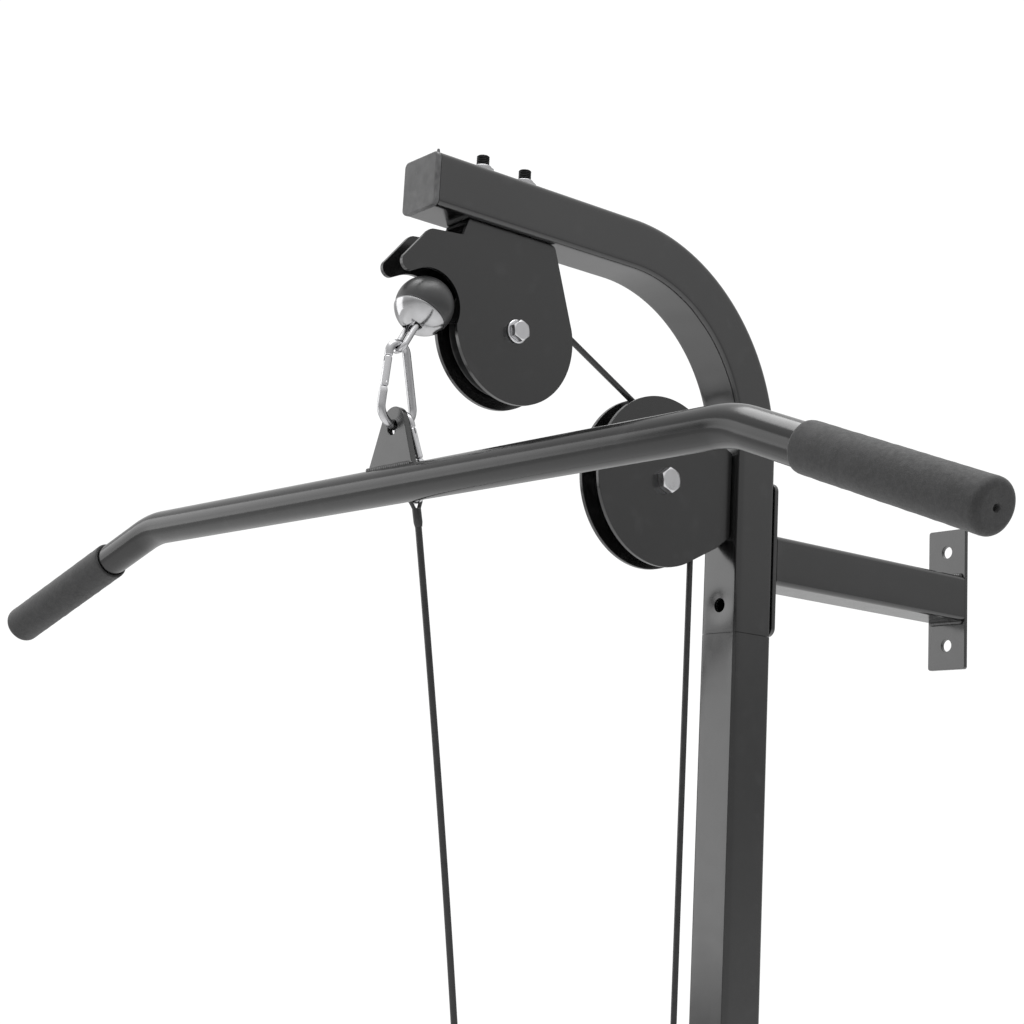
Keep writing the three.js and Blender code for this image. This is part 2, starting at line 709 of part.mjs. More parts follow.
function weightCableDrop() {
  const path = new THREE.Path();
  path.moveTo(REAR_PULLEY.y + PITCH_R, REAR_PULLEY.z - GAP);
  path.lineTo(REAR_PULLEY.y + PITCH_R, LUG_TOP + 56 + GAP);
  return sweep(cableSection(), path, 1);
}

function linkFoot() {
  const reach = HOOK_TOP_R + HOOK_SPAN + HOOK_LOW_R + HOOK_WIRE_R + GAP;
  return {
    y: LINK_TOP.y + reach * Math.sin(LINK_TILT),
    z: LINK_TOP.z - reach * Math.cos(LINK_TILT),
  };
}

function lowCableRise() {
  const top = linkFoot();
  const foot = { y: LOW_PULLEY.y + PITCH_R, z: LOW_PULLEY.z + GAP };
  const path = new THREE.Path();
  path.moveTo(top.y, top.z);
  path.quadraticCurveTo(foot.y, (top.z + foot.z) / 2, foot.y, foot.z);
  return sweep(cableSection(), path, 24);
}

function lowCableWrap() {
  const path = new THREE.Path();
  path.absarc(LOW_PULLEY.y, LOW_PULLEY.z, PITCH_R, 0, -Math.PI / 2, true);
  return sweep(cableSection(), path, 10);
}

function rowCableEnd() {
  const path = new THREE.Path();
  path.moveTo(LOW_PULLEY.y - GAP, ROW_Z);
  path.lineTo(ROW_BALL_Y + ROW_BALL_R + GAP, ROW_Z);
  return sweep(cableSection(), path, 1);
}

// ---- ball, eye and hooks ----
// Local frame: the ball's axis is Z, with the cup below.
function sphereCap(radius, from, to, steps) {
  const profile = [[0, from]];
  for (let i = 0; i <= steps; i += 1) {
    const h = from + ((to - from) * i) / steps;
    const r = Math.sqrt(Math.max(radius * radius - h * h, 0));
    if (r > 0.5) {
      profile.push([r, h]);
    }
  }
  profile.push([0, to]);
  return turned(profile, 28);
}

function eyeLoop(halfWidth, wireR, depth, top) {
  const path = new THREE.Path();
  path.moveTo(-halfWidth, top);
  path.lineTo(-halfWidth, -depth + halfWidth);
  path.absarc(0, -depth + halfWidth, halfWidth, Math.PI, 2 * Math.PI, false);
  path.lineTo(halfWidth, top);
  return sweep(ngon(wireR, 8), path, 14, (u, v) => axis(u, 0, v));
}

function addBall(group, eyeDepth) {
  const seat = -CUP_R * 0.55;
  const slot = block([-11, 11], [-4.6, 4.6], [-CUP_R - 5, seat]);
  node('stop_ball', sphereCap(BALL_R, -CUP_EDGE, BALL_R - 0.4, 10), 'rubber', group);
  const cup = sphereCap(CUP_R, -CUP_R + 0.4, -CUP_EDGE - GAP, 7).subtract(slot);
  node('ball_cup', cup, 'chrome', group);
  const eye = eyeLoop(EYE_HALF_W, EYE_WIRE_R, eyeDepth, seat - 1);
  const bar = rod('x', 3, [0, seat - 4], -9.5, 9.5, 12);
  node('ball_eye', eye.add(bar), 'zinc', group);
}

// A snap hook in the (y, z) plane with its narrow end's arc centred on the origin and its
// gate on the -y leg.
function hookTangent() {
  const lean = Math.asin((HOOK_LOW_R - HOOK_TOP_R) / HOOK_SPAN);
  return { lean, length: HOOK_SPAN * Math.cos(lean) };
}

function hookLegPoint(distance) {
  const { lean, length } = hookTangent();
  const low = [-HOOK_LOW_R * Math.cos(lean), -HOOK_SPAN + HOOK_LOW_R * Math.sin(lean)];
  const high = [-HOOK_TOP_R * Math.cos(lean), HOOK_TOP_R * Math.sin(lean)];
  const t = distance / length;
  return [low[0] + (high[0] - low[0]) * t, low[1] + (high[1] - low[1]) * t];
}

function hookBody() {
  const { lean } = hookTangent();
  const nose = hookLegPoint(GATE_TO + 0.5);
  const heel = hookLegPoint(GATE_FROM - 0.5);
  const path = new THREE.Path();
  path.moveTo(...nose);
  path.lineTo(...hookLegPoint(hookTangent().length));
  path.absarc(0, 0, HOOK_TOP_R, Math.PI - lean, lean, true);
  path.absarc(0, -HOOK_SPAN, HOOK_LOW_R, lean, -Math.PI - lean, true);
  path.lineTo(...heel);
  return sweep(ngon(HOOK_WIRE_R, 8, [0, 0], Math.PI / 8), path, 14);
}

function hookGate() {
  const { lean } = hookTangent();
  const r = HOOK_WIRE_R - 0.2;
  const length = GATE_TO - GATE_FROM;
  const profile = [[0, 0]];
  for (const angle of [30, 60, 90]) {
    const a = degToRad(angle);
    profile.push([r * Math.sin(a), r - r * Math.cos(a)]);
  }
  profile.push([r, length], [0, length]);
  const [y, z] = hookLegPoint(GATE_FROM);
  return turned(profile, 12).rotate([(-lean * 180) / Math.PI, 0, 0]).translate([0, y, z]);
}

function addHook(group, names) {
  node(names.hook, hookBody(), 'zinc', group);
  node(names.gate, hookGate(), 'zinc', group);
}

// ---- lat bar ----
function barPath() {
  const tangent = BAR_BEND_R * Math.tan(BAR_DROP / 2);
  const tip = [BAR_HALF + BAR_END * Math.cos(BAR_DROP), -BAR_END * Math.sin(BAR_DROP)];
  const on = [BAR_HALF - tangent, 0];
  const path = new THREE.Path();
  const from = Math.PI / 2 + BAR_DROP;
  path.moveTo(-tip[0], tip[1]);
  path.lineTo(-on[0] - BAR_BEND_R * Math.sin(BAR_DROP), BAR_BEND_R * (Math.cos(BAR_DROP) - 1));
  path.absarc(-on[0], -BAR_BEND_R, BAR_BEND_R, from, Math.PI / 2, true);
  path.absarc(on[0], -BAR_BEND_R, BAR_BEND_R, Math.PI / 2, Math.PI - from, true);
  path.lineTo(...tip);
  return path;
}

function latBar() {
  const lift = BAR_Z - TAB_HOLE_Z;
  const place = (u, v) => axis(u, -v * Math.sin(BAR_LEAN), lift + v * Math.cos(BAR_LEAN));
  const tube = sweep(ngon(BAR_R, 18), barPath(), 7, place);
  const bore = sweep(ngon(BAR_R - BAR_WALL, 10), barPath(), 7, place);
  const base = lift + BAR_R - 2;
  const outline = new THREE.Shape();
  const lean = 0.38;
  const topZ = TAB_TOP_R * 0.21;
  outline.moveTo(-TAB_BASE_HALF, base);
  outline.lineTo(TAB_BASE_HALF, base);
  outline.absarc(0, topZ, TAB_TOP_R, lean, Math.PI - lean, false);
  const tab = slab('y', outline, TAB_Y - BAR_Y - TAB_T / 2, TAB_Y - BAR_Y + TAB_T / 2, 10);
  const hole = rod('y', TAB_HOLE_R, [0, 0], -30, 30);
  return tube.add(tab).subtract(bore).subtract(hole);
}

function latGrip(side) {
  const reach = BAR_END - GRIP_LEN;
  const turn = side > 0 ? BAR_DROP : Math.PI - BAR_DROP;
  const outer = new THREE.CylinderGeometry(GRIP_R, GRIP_R, GRIP_LEN + 6, SIDES);
  outer.rotateZ(-Math.PI / 2);
  outer.translate(reach + (GRIP_LEN + 6) / 2, 0, 0);
  const boreR = (BAR_R + GAP) / Math.cos(Math.PI / SIDES);
  const inner = new THREE.CylinderGeometry(boreR, boreR, GRIP_LEN + 20, SIDES);
  inner.rotateZ(-Math.PI / 2);
  inner.translate(reach + GRIP_LEN / 2 + GAP - 10, 0, 0);
  const body = solid(outer).subtract(solid(inner));
  const swung = body.rotate([0, (turn * 180) / Math.PI, 0]).translate([side * BAR_HALF, 0, 0]);
  const leaned = swung.rotate([(BAR_LEAN * 180) / Math.PI, 0, 0]);
  return leaned.translate([0, 0, BAR_Z - TAB_HOLE_Z]);
}

function addLat() {
  const ball = new THREE.Group();
  ball.position.set(0, BALL.y, BALL.z);
  ball.rotation.x = -BALL_TILT;
  tower.add(ball);
  const eyeReach = Math.hypot(HOOK_TOP.y - BALL.y, HOOK_TOP.z + 2.6 - BALL.z);
  addBall(ball, eyeReach);

  const hook = new THREE.Group();
  hook.position.set(0, HOOK_TOP.y, HOOK_TOP.z);
  hook.rotation.x = HOOK_TILT;
  tower.add(hook);
  addHook(hook, { hook: 'lat_hook', gate: 'lat_hook_gate' });

  const link = new THREE.Group();
  link.position.set(0, LINK_TOP.y, LINK_TOP.z);
  link.rotation.set(LINK_TILT, 0, 0);
  const linkTurn = new THREE.Group();
  linkTurn.rotation.z = Math.PI / 2;
  linkTurn.position.z = -HOOK_TOP_R;
  link.add(linkTurn);
  tower.add(link);
  addHook(linkTurn, { hook: 'link_hook', gate: 'link_hook_gate' });

  const bar = new THREE.Group();
  bar.position.set(0, BAR_Y, TAB_HOLE_Z);
  bar.rotation.z = BAR_TURN;
  tower.add(bar);
  node('lat_bar', latBar(), 'bar', bar);
  node('lat_grip_left', latGrip(-1), 'foam', bar);
  node('lat_grip_right', latGrip(1), 'foam', bar);
}

// ---- low row end ----
function addRowEnd() {
  const ball = new THREE.Group();
  ball.position.set(0, ROW_BALL_Y, ROW_Z);
  ball.rotation.x = -Math.PI / 2;
  tower.add(ball);
  const pocket = block([-10.2, 10.2], [-3.2, 3.2], [-ROW_BALL_R - 5, -ROW_BALL_R * 0.4]);
  const shell = sphereCap(ROW_BALL_R, -ROW_BALL_R + 0.4, ROW_BALL_R - 0.4, 8);
  node('row_stop_ball', shell.subtract(pocket), 'rubber', ball);
  const reach = ROW_BALL_R + 20;
  node('row_eye', eyeLoop(EYE_HALF_W, EYE_WIRE_R, reach, -ROW_BALL_R * 0.4 - 0.5), 'zinc', ball);
}

// ---- assembly ----
node('upper_frame', upperFrame(), 'frame');
node('arm_end_cap', armEndCap(), 'cap');
node('joint_spigot', jointSpigot(), 'frame');
node('lower_column', lowerColumn(), 'frame');
node('base_beam', baseBeam(), 'frame');
node('front_foot', foot(250, -450 - HALF), 'frame');
node('rear_foot', rearFoot(200, 175), 'frame');
addWallBracket();
node('front_bracket', frontBracket(), 'bracket');
node('rear_bracket', rearBracket(), 'bracket');
node('low_bracket', lowBracket(), 'bracket');
addPulleySets();
node('arm_bolt_front', armBolt(ARM_BOLT_Y[0]), 'zinc');
node('arm_bolt_rear', armBolt(ARM_BOLT_Y[1]), 'zinc');
node('arm_nut_front', armNut(ARM_BOLT_Y[0]), 'zinc');
node('arm_nut_rear', armNut(ARM_BOLT_Y[1]), 'zinc');
node('rear_bracket_bolt', rearBracketBolt(), 'zinc');
node('rear_bracket_nut', rearBracketNut(), 'zinc');
node('back_plate_bolt', backPlateBolt(), 'zinc');
node('column_bumper', columnBumper(), 'rubber');
addCarriage();
node('upper_cable', upperCable(), 'cable');
node('lat_cable_drop', latCableDrop(), 'cable');
node('weight_cable_drop', weightCableDrop(), 'cable');
node('low_cable_rise', lowCableRise(), 'cable');
node('low_cable_wrap', lowCableWrap(), 'cable');
node('row_cable_end', rowCableEnd(), 'cable');
addLat();
addRowEnd();

export default tower;
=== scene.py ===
"""Looks for the wall-mounted cable tower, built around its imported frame.

Lengths are millimetres until a mesh is made, and angles are degrees. -Y is the user's side,
+Y the wall, +Z up, and the origin is on the floor on the column's axis.
"""
from contextlib import contextmanager
from math import acos, asin, atan2, cos, degrees, dist, exp, hypot, pi, radians, sin, sqrt, tan

import bmesh
import bpy
from mathutils import Matrix, Vector, noise


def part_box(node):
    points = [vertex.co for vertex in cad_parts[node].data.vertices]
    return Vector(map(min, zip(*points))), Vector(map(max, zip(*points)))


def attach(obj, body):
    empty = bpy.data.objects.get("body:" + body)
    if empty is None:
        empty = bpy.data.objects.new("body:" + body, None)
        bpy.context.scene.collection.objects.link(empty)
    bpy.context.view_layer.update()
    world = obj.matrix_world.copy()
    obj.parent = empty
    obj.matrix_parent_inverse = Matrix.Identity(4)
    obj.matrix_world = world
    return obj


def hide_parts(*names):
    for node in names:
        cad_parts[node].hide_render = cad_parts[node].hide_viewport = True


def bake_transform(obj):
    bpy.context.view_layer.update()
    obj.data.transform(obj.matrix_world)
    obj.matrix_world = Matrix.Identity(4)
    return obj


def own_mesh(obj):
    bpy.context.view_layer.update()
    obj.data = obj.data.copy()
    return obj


NOISE_SEED = 7
noise.seed_set(NOISE_SEED)  # noise_vector follows the clock without one

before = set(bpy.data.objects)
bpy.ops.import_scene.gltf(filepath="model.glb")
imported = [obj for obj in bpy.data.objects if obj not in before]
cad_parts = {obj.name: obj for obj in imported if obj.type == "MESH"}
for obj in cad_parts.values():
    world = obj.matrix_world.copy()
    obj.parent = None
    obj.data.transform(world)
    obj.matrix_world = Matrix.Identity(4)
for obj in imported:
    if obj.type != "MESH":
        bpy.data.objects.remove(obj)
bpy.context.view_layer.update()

MM = 0.001
GAP = 0.3


def box_mm(node):
    """Lowest and highest corners of a CAD node, in millimetres."""
    low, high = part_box(node)
    return low / MM, high / MM


def centre_mm(node):
    low, high = box_mm(node)
    return (low + high) / 2


# ---- sizes that the frame gives ----
JOINT_Z = box_mm("lower_column")[1].z + GAP
ARM_TOP = box_mm("upper_frame")[1].z
ARM_FRONT = box_mm("arm_end_cap")[0].y
WALL_FACE = box_mm("wall_plate")[1].y
FRONT_PULLEY = centre_mm("front_pulley")
REAR_PULLEY = centre_mm("rear_pulley")
LOW_PULLEY = centre_mm("low_pulley")
ARM_BOLT_YS = (centre_mm("arm_bolt_front").y, centre_mm("arm_bolt_rear").y)
BOLT_LOW_Z = centre_mm("back_plate_bolt").z
BOLT_HIGH_Z = centre_mm("rear_bracket_bolt").z

# ---- sizes shared with the part ----
TUBE = 50
HALF = TUBE / 2
WALL = 3
CORNER = 5
BORE_CORNER = 2
BEND_R = 178
CAP_FLANGE = 5
BASE_H = 50
CABLE_R = 3
PITCH_R = 49
PULLEY_R = 58
PLATE = 4
FRONT_HALF_W = 17
REAR_HALF_W = 14
FRONT_AXLE_R = 5
REAR_AXLE_R = 7
ARM_BOLT_R = 6
BALL = Vector((0, -405.7, JOINT_Z + 248.8))
BALL_R = 26.5
CUP_R = 27.4
CUP_EDGE = 10
BALL_TILT = 28.8
EYE_WIRE_R = 2.75
EYE_HALF_W = 7.05
HOOK_WIRE_R = 3.8
HOOK_TOP_R = 9.5
HOOK_LOW_R = 16.7
HOOK_SPAN = 48.2
HOOK_TOP = Vector((0, -431, JOINT_Z + 198.7))
HOOK_TILT = 3.4
GATE_FROM = 15
GATE_TO = 43
LINK_TOP = Vector((0, -421.4, JOINT_Z + 144.9))
LINK_TILT = 15
TAB_HOLE_Z = JOINT_Z + 132.4
TAB_Y = -429
TAB_T = 6
TAB_HOLE_R = 6.5
TAB_TOP_R = 15.5
TAB_BASE_HALF = 31
BAR_Y = -426.8
BAR_Z = JOINT_Z + 81.5
BAR_R = 16.4
BAR_WALL = 2.5
BAR_HALF = 391
BAR_END = 242
BAR_DROP = 21.6
BAR_LEAN = -12.4
BAR_TURN = 3.1
BAR_BEND_R = 95
GRIP_R = 19.2
GRIP_LEN = 165
LUG_TOP = 338
PEG_Z = 300
ROW_BALL_R = 20

X = Vector((1, 0, 0))
Y = Vector((0, 1, 0))
Z = Vector((0, 0, 1))


def linked(name, data):
    obj = bpy.data.objects.new(name, data)
    bpy.context.scene.collection.objects.link(obj)
    return obj


# ---- camera ----
CAMERA_AT = (1.30369, -1.32996, 1.49124)
CAMERA_YAW = 51.52
CAMERA_PITCH = 10.65
CAMERA_ROLL = 3.07
LENS = 65.39


def add_camera():
    yaw, pitch, roll = (radians(a) for a in (CAMERA_YAW, CAMERA_PITCH, CAMERA_ROLL))
    flat = cos(pitch)
    forward = Vector((-sin(yaw) * flat, cos(yaw) * flat, sin(pitch)))
    level = Vector((cos(yaw), sin(yaw), 0))
    above = level.cross(forward)
    right = level * cos(roll) + above * sin(roll)
    up = above * cos(roll) - level * sin(roll)
    lens = bpy.data.cameras.new("camera")
    lens.lens = LENS
    lens.sensor_width = 36
    lens.clip_end = 60
    camera = linked("camera", lens)
    turn = Matrix((right, up, -forward)).transposed().to_4x4()
    camera.matrix_world = Matrix.Translation(CAMERA_AT) @ turn
    bpy.context.scene.camera = camera


add_camera()


# ---- mesh shapes: a shape is (points, faces) in millimetres ----
def joined(*shapes):
    points, faces = [], []
    for more_points, more_faces in shapes:
        start = len(points)
        points += more_points
        faces += [tuple(i + start for i in face) for face in more_faces]
    return points, faces


def moved(shape, matrix):
    return [matrix @ Vector(p) for p in shape[0]], shape[1]


def loft(rings, loop=False):
    """Skins rings of equal length. A loop joins the last ring to the first."""
    count = len(rings[0])
    points = [Vector(p) for ring in rings for p in ring]
    faces = []
    for i in range(len(rings) if loop else len(rings) - 1):
        a = i * count
        b = (i + 1) % len(rings) * count
        for j in range(count):
            k = (j + 1) % count
            faces.append((a + j, a + k, b + k, b + j))
    if not loop:
        faces.append(tuple(range(count)))
        faces.append(tuple(range(len(points) - count, len(points))))
    return points, faces


def circle(radius, sides):
    turns = [2 * pi * i / sides for i in range(sides)]
    return [(radius * cos(t), radius * sin(t)) for t in turns]


def rounded_rect(width, height, radius, steps=6, flat_steps=1):
    """A rectangle with round corners, going anticlockwise from the +u side."""
    w, h = width / 2 - radius, height / 2 - radius
    outline = []
    for corner, (u, v) in enumerate(((w, h), (-w, h), (-w, -h), (w, -h))):
        for i in range(steps + 1):
            t = pi / 2 * (corner + i / steps)
            outline.append((u + radius * cos(t), v + radius * sin(t)))
    if flat_steps == 1:
        return outline
    full = []
    for i, a in enumerate(outline):
        b = outline[(i + 1) % len(outline)]
        long = dist(a, b) > radius
        for s in range(flat_steps if long else 1):
            share = s / flat_steps
            full.append((a[0] + (b[0] - a[0]) * share, a[1] + (b[1] - a[1]) * share))
    return full


def arc(centre, radius, start, stop, steps):
    """Points on an arc in a plane, from one angle in degrees to another."""
    points = []
    for i in range(steps + 1):
        t = radians(start + (stop - start) * i / steps)
        points.append((centre[0] + radius * cos(t), centre[1] + radius * sin(t)))
    return points


def stations(path, across):
    """Frames (point, u, v) along a 3-D path, turning as little as possible."""
    path = [Vector(p) for p in path]
    u = Vector(across).normalized()
    frames = []
    for before, point, after in zip(path[:1] + path, path, path[1:] + path[-1:]):
        tangent = Vector((0, 0, 0))
        for a, b in ((before, point), (point, after)):
            if (b - a).length > 1e-6:
                tangent += (b - a).normalized()
        tangent.normalize()
        u = (u - tangent * u.dot(tangent)).normalized()
        frames.append((point, u.copy(), tangent.cross(u)))
    return frames


def swept(section, path, across=X, inner=None):
    """Sweeps a section of (u, v) points along a path. inner is a bore's section."""
    frames = stations(path, across)

    def rings(outline):
        return [[p + u * a + v * b for a, b in outline] for p, u, v in frames]

    if inner is None:
        return loft(rings(section))
    return loft(rings(section) + rings(inner)[::-1], loop=True)


def turned(profile, sides, at=(0, 0, 0), along=Z, closed=False):
    """A profile of (radius, height) turned about an axis through at."""
    along = Vector(along).normalized()
    u = along.orthogonal().normalized()
    v = along.cross(u)
    rings = []
    for radius, height in profile:
        base = Vector(at) + along * height
        rings.append([base + u * a + v * b for a, b in circle(max(radius, 1e-5), sides)])
    return loft(rings, loop=closed)


def prism(outline, place, start, stop):
    """An outline pushed from start to stop. place turns (a, b, depth) into a point."""
    return loft([[place(a, b, depth) for a, b in outline] for depth in (start, stop)])


def on_x(a, b, depth):
    return Vector((depth, a, b))


def on_y(a, b, depth):
    return Vector((a, depth, b))


def on_z(a, b, depth):
    return Vector((a, b, depth))


def block(x, y, z):
    outline = [(x[0], y[0]), (x[1], y[0]), (x[1], y[1]), (x[0], y[1])]
    return prism(outline, on_z, z[0], z[1])


def rod(radius, low, high, sides, at, along):
    """A plain cylinder between two heights on an axis through at."""
    profile = [(0, low), (radius, low), (radius, high), (0, high)]
    return turned(profile, sides, at, along)


def box_tube(path, flat_steps):
    """The frame's square tube. Each flat is split into so many steps."""
    bore = TUBE - 2 * WALL
    outer = rounded_rect(TUBE, TUBE, CORNER, 6, flat_steps)
    inner = rounded_rect(bore, bore, BORE_CORNER, 6, flat_steps)
    return swept(outer, path, inner=inner)


def square_plug(sections, point_at):
    """A lofted plug. Each section is (depth, size, corner radius)."""
    rings = []
    for depth, size, radius in sections:
        rings.append([point_at(depth, a, b) for a, b in rounded_rect(size, size, radius)])
    return loft(rings)


def on_axis(centre):
    return Vector((0, centre.y, centre.z))


def metres(matrix):
    """The same placing, for a mesh that is already made."""
    return Matrix.Translation(matrix.translation * MM) @ matrix.to_3x3().to_4x4()


def hex_head(across_flats, low, high, at, along, turn=0, chamfer_both=False, sides=72):
    """A hexagon with the curved chamfers of a forged head, flat at low and high."""
    along = Vector(along).normalized()
    u = along.orthogonal().normalized()
    v = along.cross(u)
    flat = across_flats / 2
    rim = flat * 0.94

    def ring(radius_of, height_of):
        points = []
        for i in range(sides):
            t = 2 * pi * i / sides
            reach = flat / cos((t + pi / 6) % (pi / 3) - pi / 6)
            radius = radius_of(reach)
            spin = t + radians(turn)
            side = u * cos(spin) + v * sin(spin)
            points.append(Vector(at) + along * height_of(reach) + side * radius)
        return points

    def drop(reach):
        return (reach - rim) * tan(radians(28))

    rings = [ring(lambda r: rim, lambda r: high), ring(lambda r: r, lambda r: high - drop(r))]
    if chamfer_both:
        rings += [ring(lambda r: r, lambda r: low + drop(r)), ring(lambda r: rim, lambda r: low)]
    else:
        rings += [ring(lambda r: r, lambda r: low)]
    return loft(rings)


# ---- objects ----
@contextmanager
def editing(mesh):
    bm = bmesh.new()
    bm.from_mesh(mesh)
    yield bm
    bm.to_mesh(mesh)
    bm.free()


def add_object(name, shape):
    mesh = bpy.data.meshes.new(name)
    mesh.from_pydata([Vector(p) * MM for p in shape[0]], [], shape[1])
    with editing(mesh) as bm:
        bmesh.ops.remove_doubles(bm, verts=bm.verts, dist=1e-7)
        bmesh.ops.dissolve_degenerate(bm, edges=bm.edges, dist=1e-7)
        bmesh.ops.recalc_face_normals(bm, faces=bm.faces)
    return linked(name, mesh)


def modify(obj, kind, **settings):
    """Adds a modifier and applies it."""
    modifier = obj.modifiers.new(kind, kind)
    for key, value in settings.items():
        setattr(modifier, key, value)
    depsgraph = bpy.context.evaluated_depsgraph_get()
    mesh = bpy.data.meshes.new_from_object(obj.evaluated_get(depsgraph))
    old = obj.data
    obj.modifiers.clear()
    obj.data = mesh
    bpy.data.meshes.remove(old)


def cut(obj, *shapes):
    for shape in shapes:
        tool = add_object("tool", shape)
        modify(obj, "BOOLEAN", operation="DIFFERENCE", solver="EXACT", object=tool)
        mesh = tool.data
        bpy.data.objects.remove(tool)
        bpy.data.meshes.remove(mesh)


def merge_flats(obj):
    with editing(obj.data) as bm:
        edges, points = bm.edges[:], bm.verts[:]
        bmesh.ops.dissolve_limit(bm, angle_limit=radians(0.5), verts=points, edges=edges)


def round_edges(obj, width, segments=3, angle=32, fold=None, fold_width=0):
    """Rounds the sharp edges, and more widely the edges that fold(a, b) picks."""
    widest = max(width, fold_width)
    with editing(obj.data) as bm:
        weight = bm.edges.layers.float.new("bevel_weight_edge")
        for edge in bm.edges:
            if len(edge.link_faces) == 2 and edge.calc_face_angle() > radians(angle):
                picked = fold and fold(*(v.co / MM for v in edge.verts))
                edge[weight] = (fold_width if picked else width) / widest
    modify(obj, "BEVEL", limit_method="WEIGHT", width=widest * MM, segments=segments,
           use_clamp_overlap=True, miter_outer="MITER_ARC")


def smooth(obj, angle=35):
    obj.data.shade_smooth()
    obj.data.set_sharp_from_angle(angle=radians(angle))
    modify(obj, "WEIGHTED_NORMAL", keep_sharp=True, weight=60)


def dress(obj, look):
    obj.data.materials.clear()
    obj.data.materials.append(look["material"])


def place(obj, look, body, *nodes):
    """Gives a finished piece its material and its body, and hides the CAD nodes that it stands for.
    """
    dress(obj, look)
    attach(obj, body)
    if nodes:
        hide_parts(*nodes)
    return obj


def finish(obj, look, body, *nodes, angle=35):
    smooth(obj, angle)
    return place(obj, look, body, *nodes)


def piece(name, shape, look, body, *nodes, angle=35):
    """A finished piece from a shape that needs no cutting."""
    return finish(add_object(name, shape), look, body, *nodes, angle=angle)


def refined(node, look, body, width=0.6, segments=2):
    """A CAD solid with its facets joined and its sharp edges rounded."""
    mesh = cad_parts[node].data.copy()
    mesh.name = node + "_finished"
    with editing(mesh) as bm:
        bmesh.ops.remove_doubles(bm, verts=bm.verts, dist=1e-6)
    obj = linked(node + "_finished", mesh)
    merge_flats(obj)
    round_edges(obj, width, segments)
    return finish(obj, look, body, node)


# ---- materials ----
class Look:
    """A node material under construction."""

    def __init__(self, name, slot=None):
        self.slot = slot
        self.material = bpy.data.materials.new(name)
        self.material.use_nodes = True
        self.tree = self.material.node_tree
        self.shader = self.tree.nodes["Principled BSDF"]
        self.place = self.node("ShaderNodeTexCoord").outputs["Object"]

    def node(self, kind, **values):
        made = self.tree.nodes.new(kind)
        for key, value in values.items():
            if hasattr(made, key):
                setattr(made, key, value)
            else:
                made.inputs[key.replace("_", " ")].default_value = value
        return made

    def link(self, source, target):
        self.tree.links.new(source, target)

    def noise(self, scale, detail=3, stretch=(1, 1, 1), roughness=0.5):
        mapping = self.node("ShaderNodeMapping")
        mapping.inputs["Scale"].default_value = stretch
        self.link(self.place, mapping.inputs["Vector"])
        texture = self.node("ShaderNodeTexNoise", Scale=scale, Detail=detail, Roughness=roughness)
        self.link(mapping.outputs["Vector"], texture.inputs["Vector"])
        return texture.outputs["Fac"]

    def spread(self, value, low, high, start=0.3, stop=0.7):
        """Maps a varying value onto a range of numbers."""
        limits = {"From Min": start, "From Max": stop, "To Min": low, "To Max": high}
        made = self.node("ShaderNodeMapRange")
        for key, number in limits.items():
            made.inputs[key].default_value = number
        self.link(value, made.inputs["Value"])
        return made.outputs["Result"]

    def cloud(self, scale, detail, low=0, high=1, stretch=(1, 1, 1)):
        """Soft noise between two values."""
        return self.spread(self.noise(scale, detail, stretch), low, high)

    def mix(self, share, first, second):
        made = self.node("ShaderNodeMix", data_type="RGBA")
        self.link(share, made.inputs["Factor"])
        for socket, value in ((made.inputs[6], first), (made.inputs[7], second)):
            if isinstance(value, (tuple, list)):
                socket.default_value = (*value, 1)
            else:
                self.link(value, socket)
        return made.outputs[2]

    def worn_edges(self, low=0.515, high=0.56):
        geometry = self.node("ShaderNodeNewGeometry")
        return self.spread(geometry.outputs["Pointiness"], 0, 1, low, high)

    def both(self, first, second):
        made = self.node("ShaderNodeMath", operation="MULTIPLY")
        self.link(first, made.inputs[0])
        self.link(second, made.inputs[1])
        return made.outputs[0]

    def bumps(self, *layers):
        """Each layer is (height, depth in millimetres, strength)."""
        normal = None
        for height, depth, strength in layers:
            made = self.node("ShaderNodeBump", Strength=strength, Distance=depth * MM)
            self.link(height, made.inputs["Height"])
            if normal:
                self.link(normal, made.inputs["Normal"])
            normal = made.outputs["Normal"]
        self.link(normal, self.shader.inputs["Normal"])

    def finish(self, colour, roughness, **constants):
        self.link(colour, self.shader.inputs["Base Color"])
        self.link(roughness, self.shader.inputs["Roughness"])
        for key, value in constants.items():
            self.shader.inputs[key.replace("_", " ")].default_value = value
        return {"material": self.material, "slot": self.slot}


def grey(level):
    """A neutral grey, a shade blue as steel and black paint look."""
    return (level, level, level * 1.02)


def paint(name, slot, dark, light, rough, peel, level):
    """Black powder coat: a soft cloud of tone, orange peel, faint handling marks, specks."""
    look = Look(name, slot)
    colour = look.mix(look.cloud(14, 4), grey(dark), grey(light))
    marks = look.spread(look.noise(46, 6), 0, 0.12, 0.6, 0.72)
    colour = look.mix(marks, colour, (0.06, 0.06, 0.062))
    specks = look.spread(look.noise(520, 1), 0, 0.35, 0.76, 0.8)
    colour = look.mix(specks, colour, (0.08, 0.08, 0.08))
    roughness = look.cloud(60, 5, rough - 0.02, rough + 0.03)
    look.bumps((look.noise(650, 2), peel, 0.35), (look.noise(38, 2), peel * 3, 0.05))
    return look.finish(colour, roughness, Specular_IOR_Level=level)


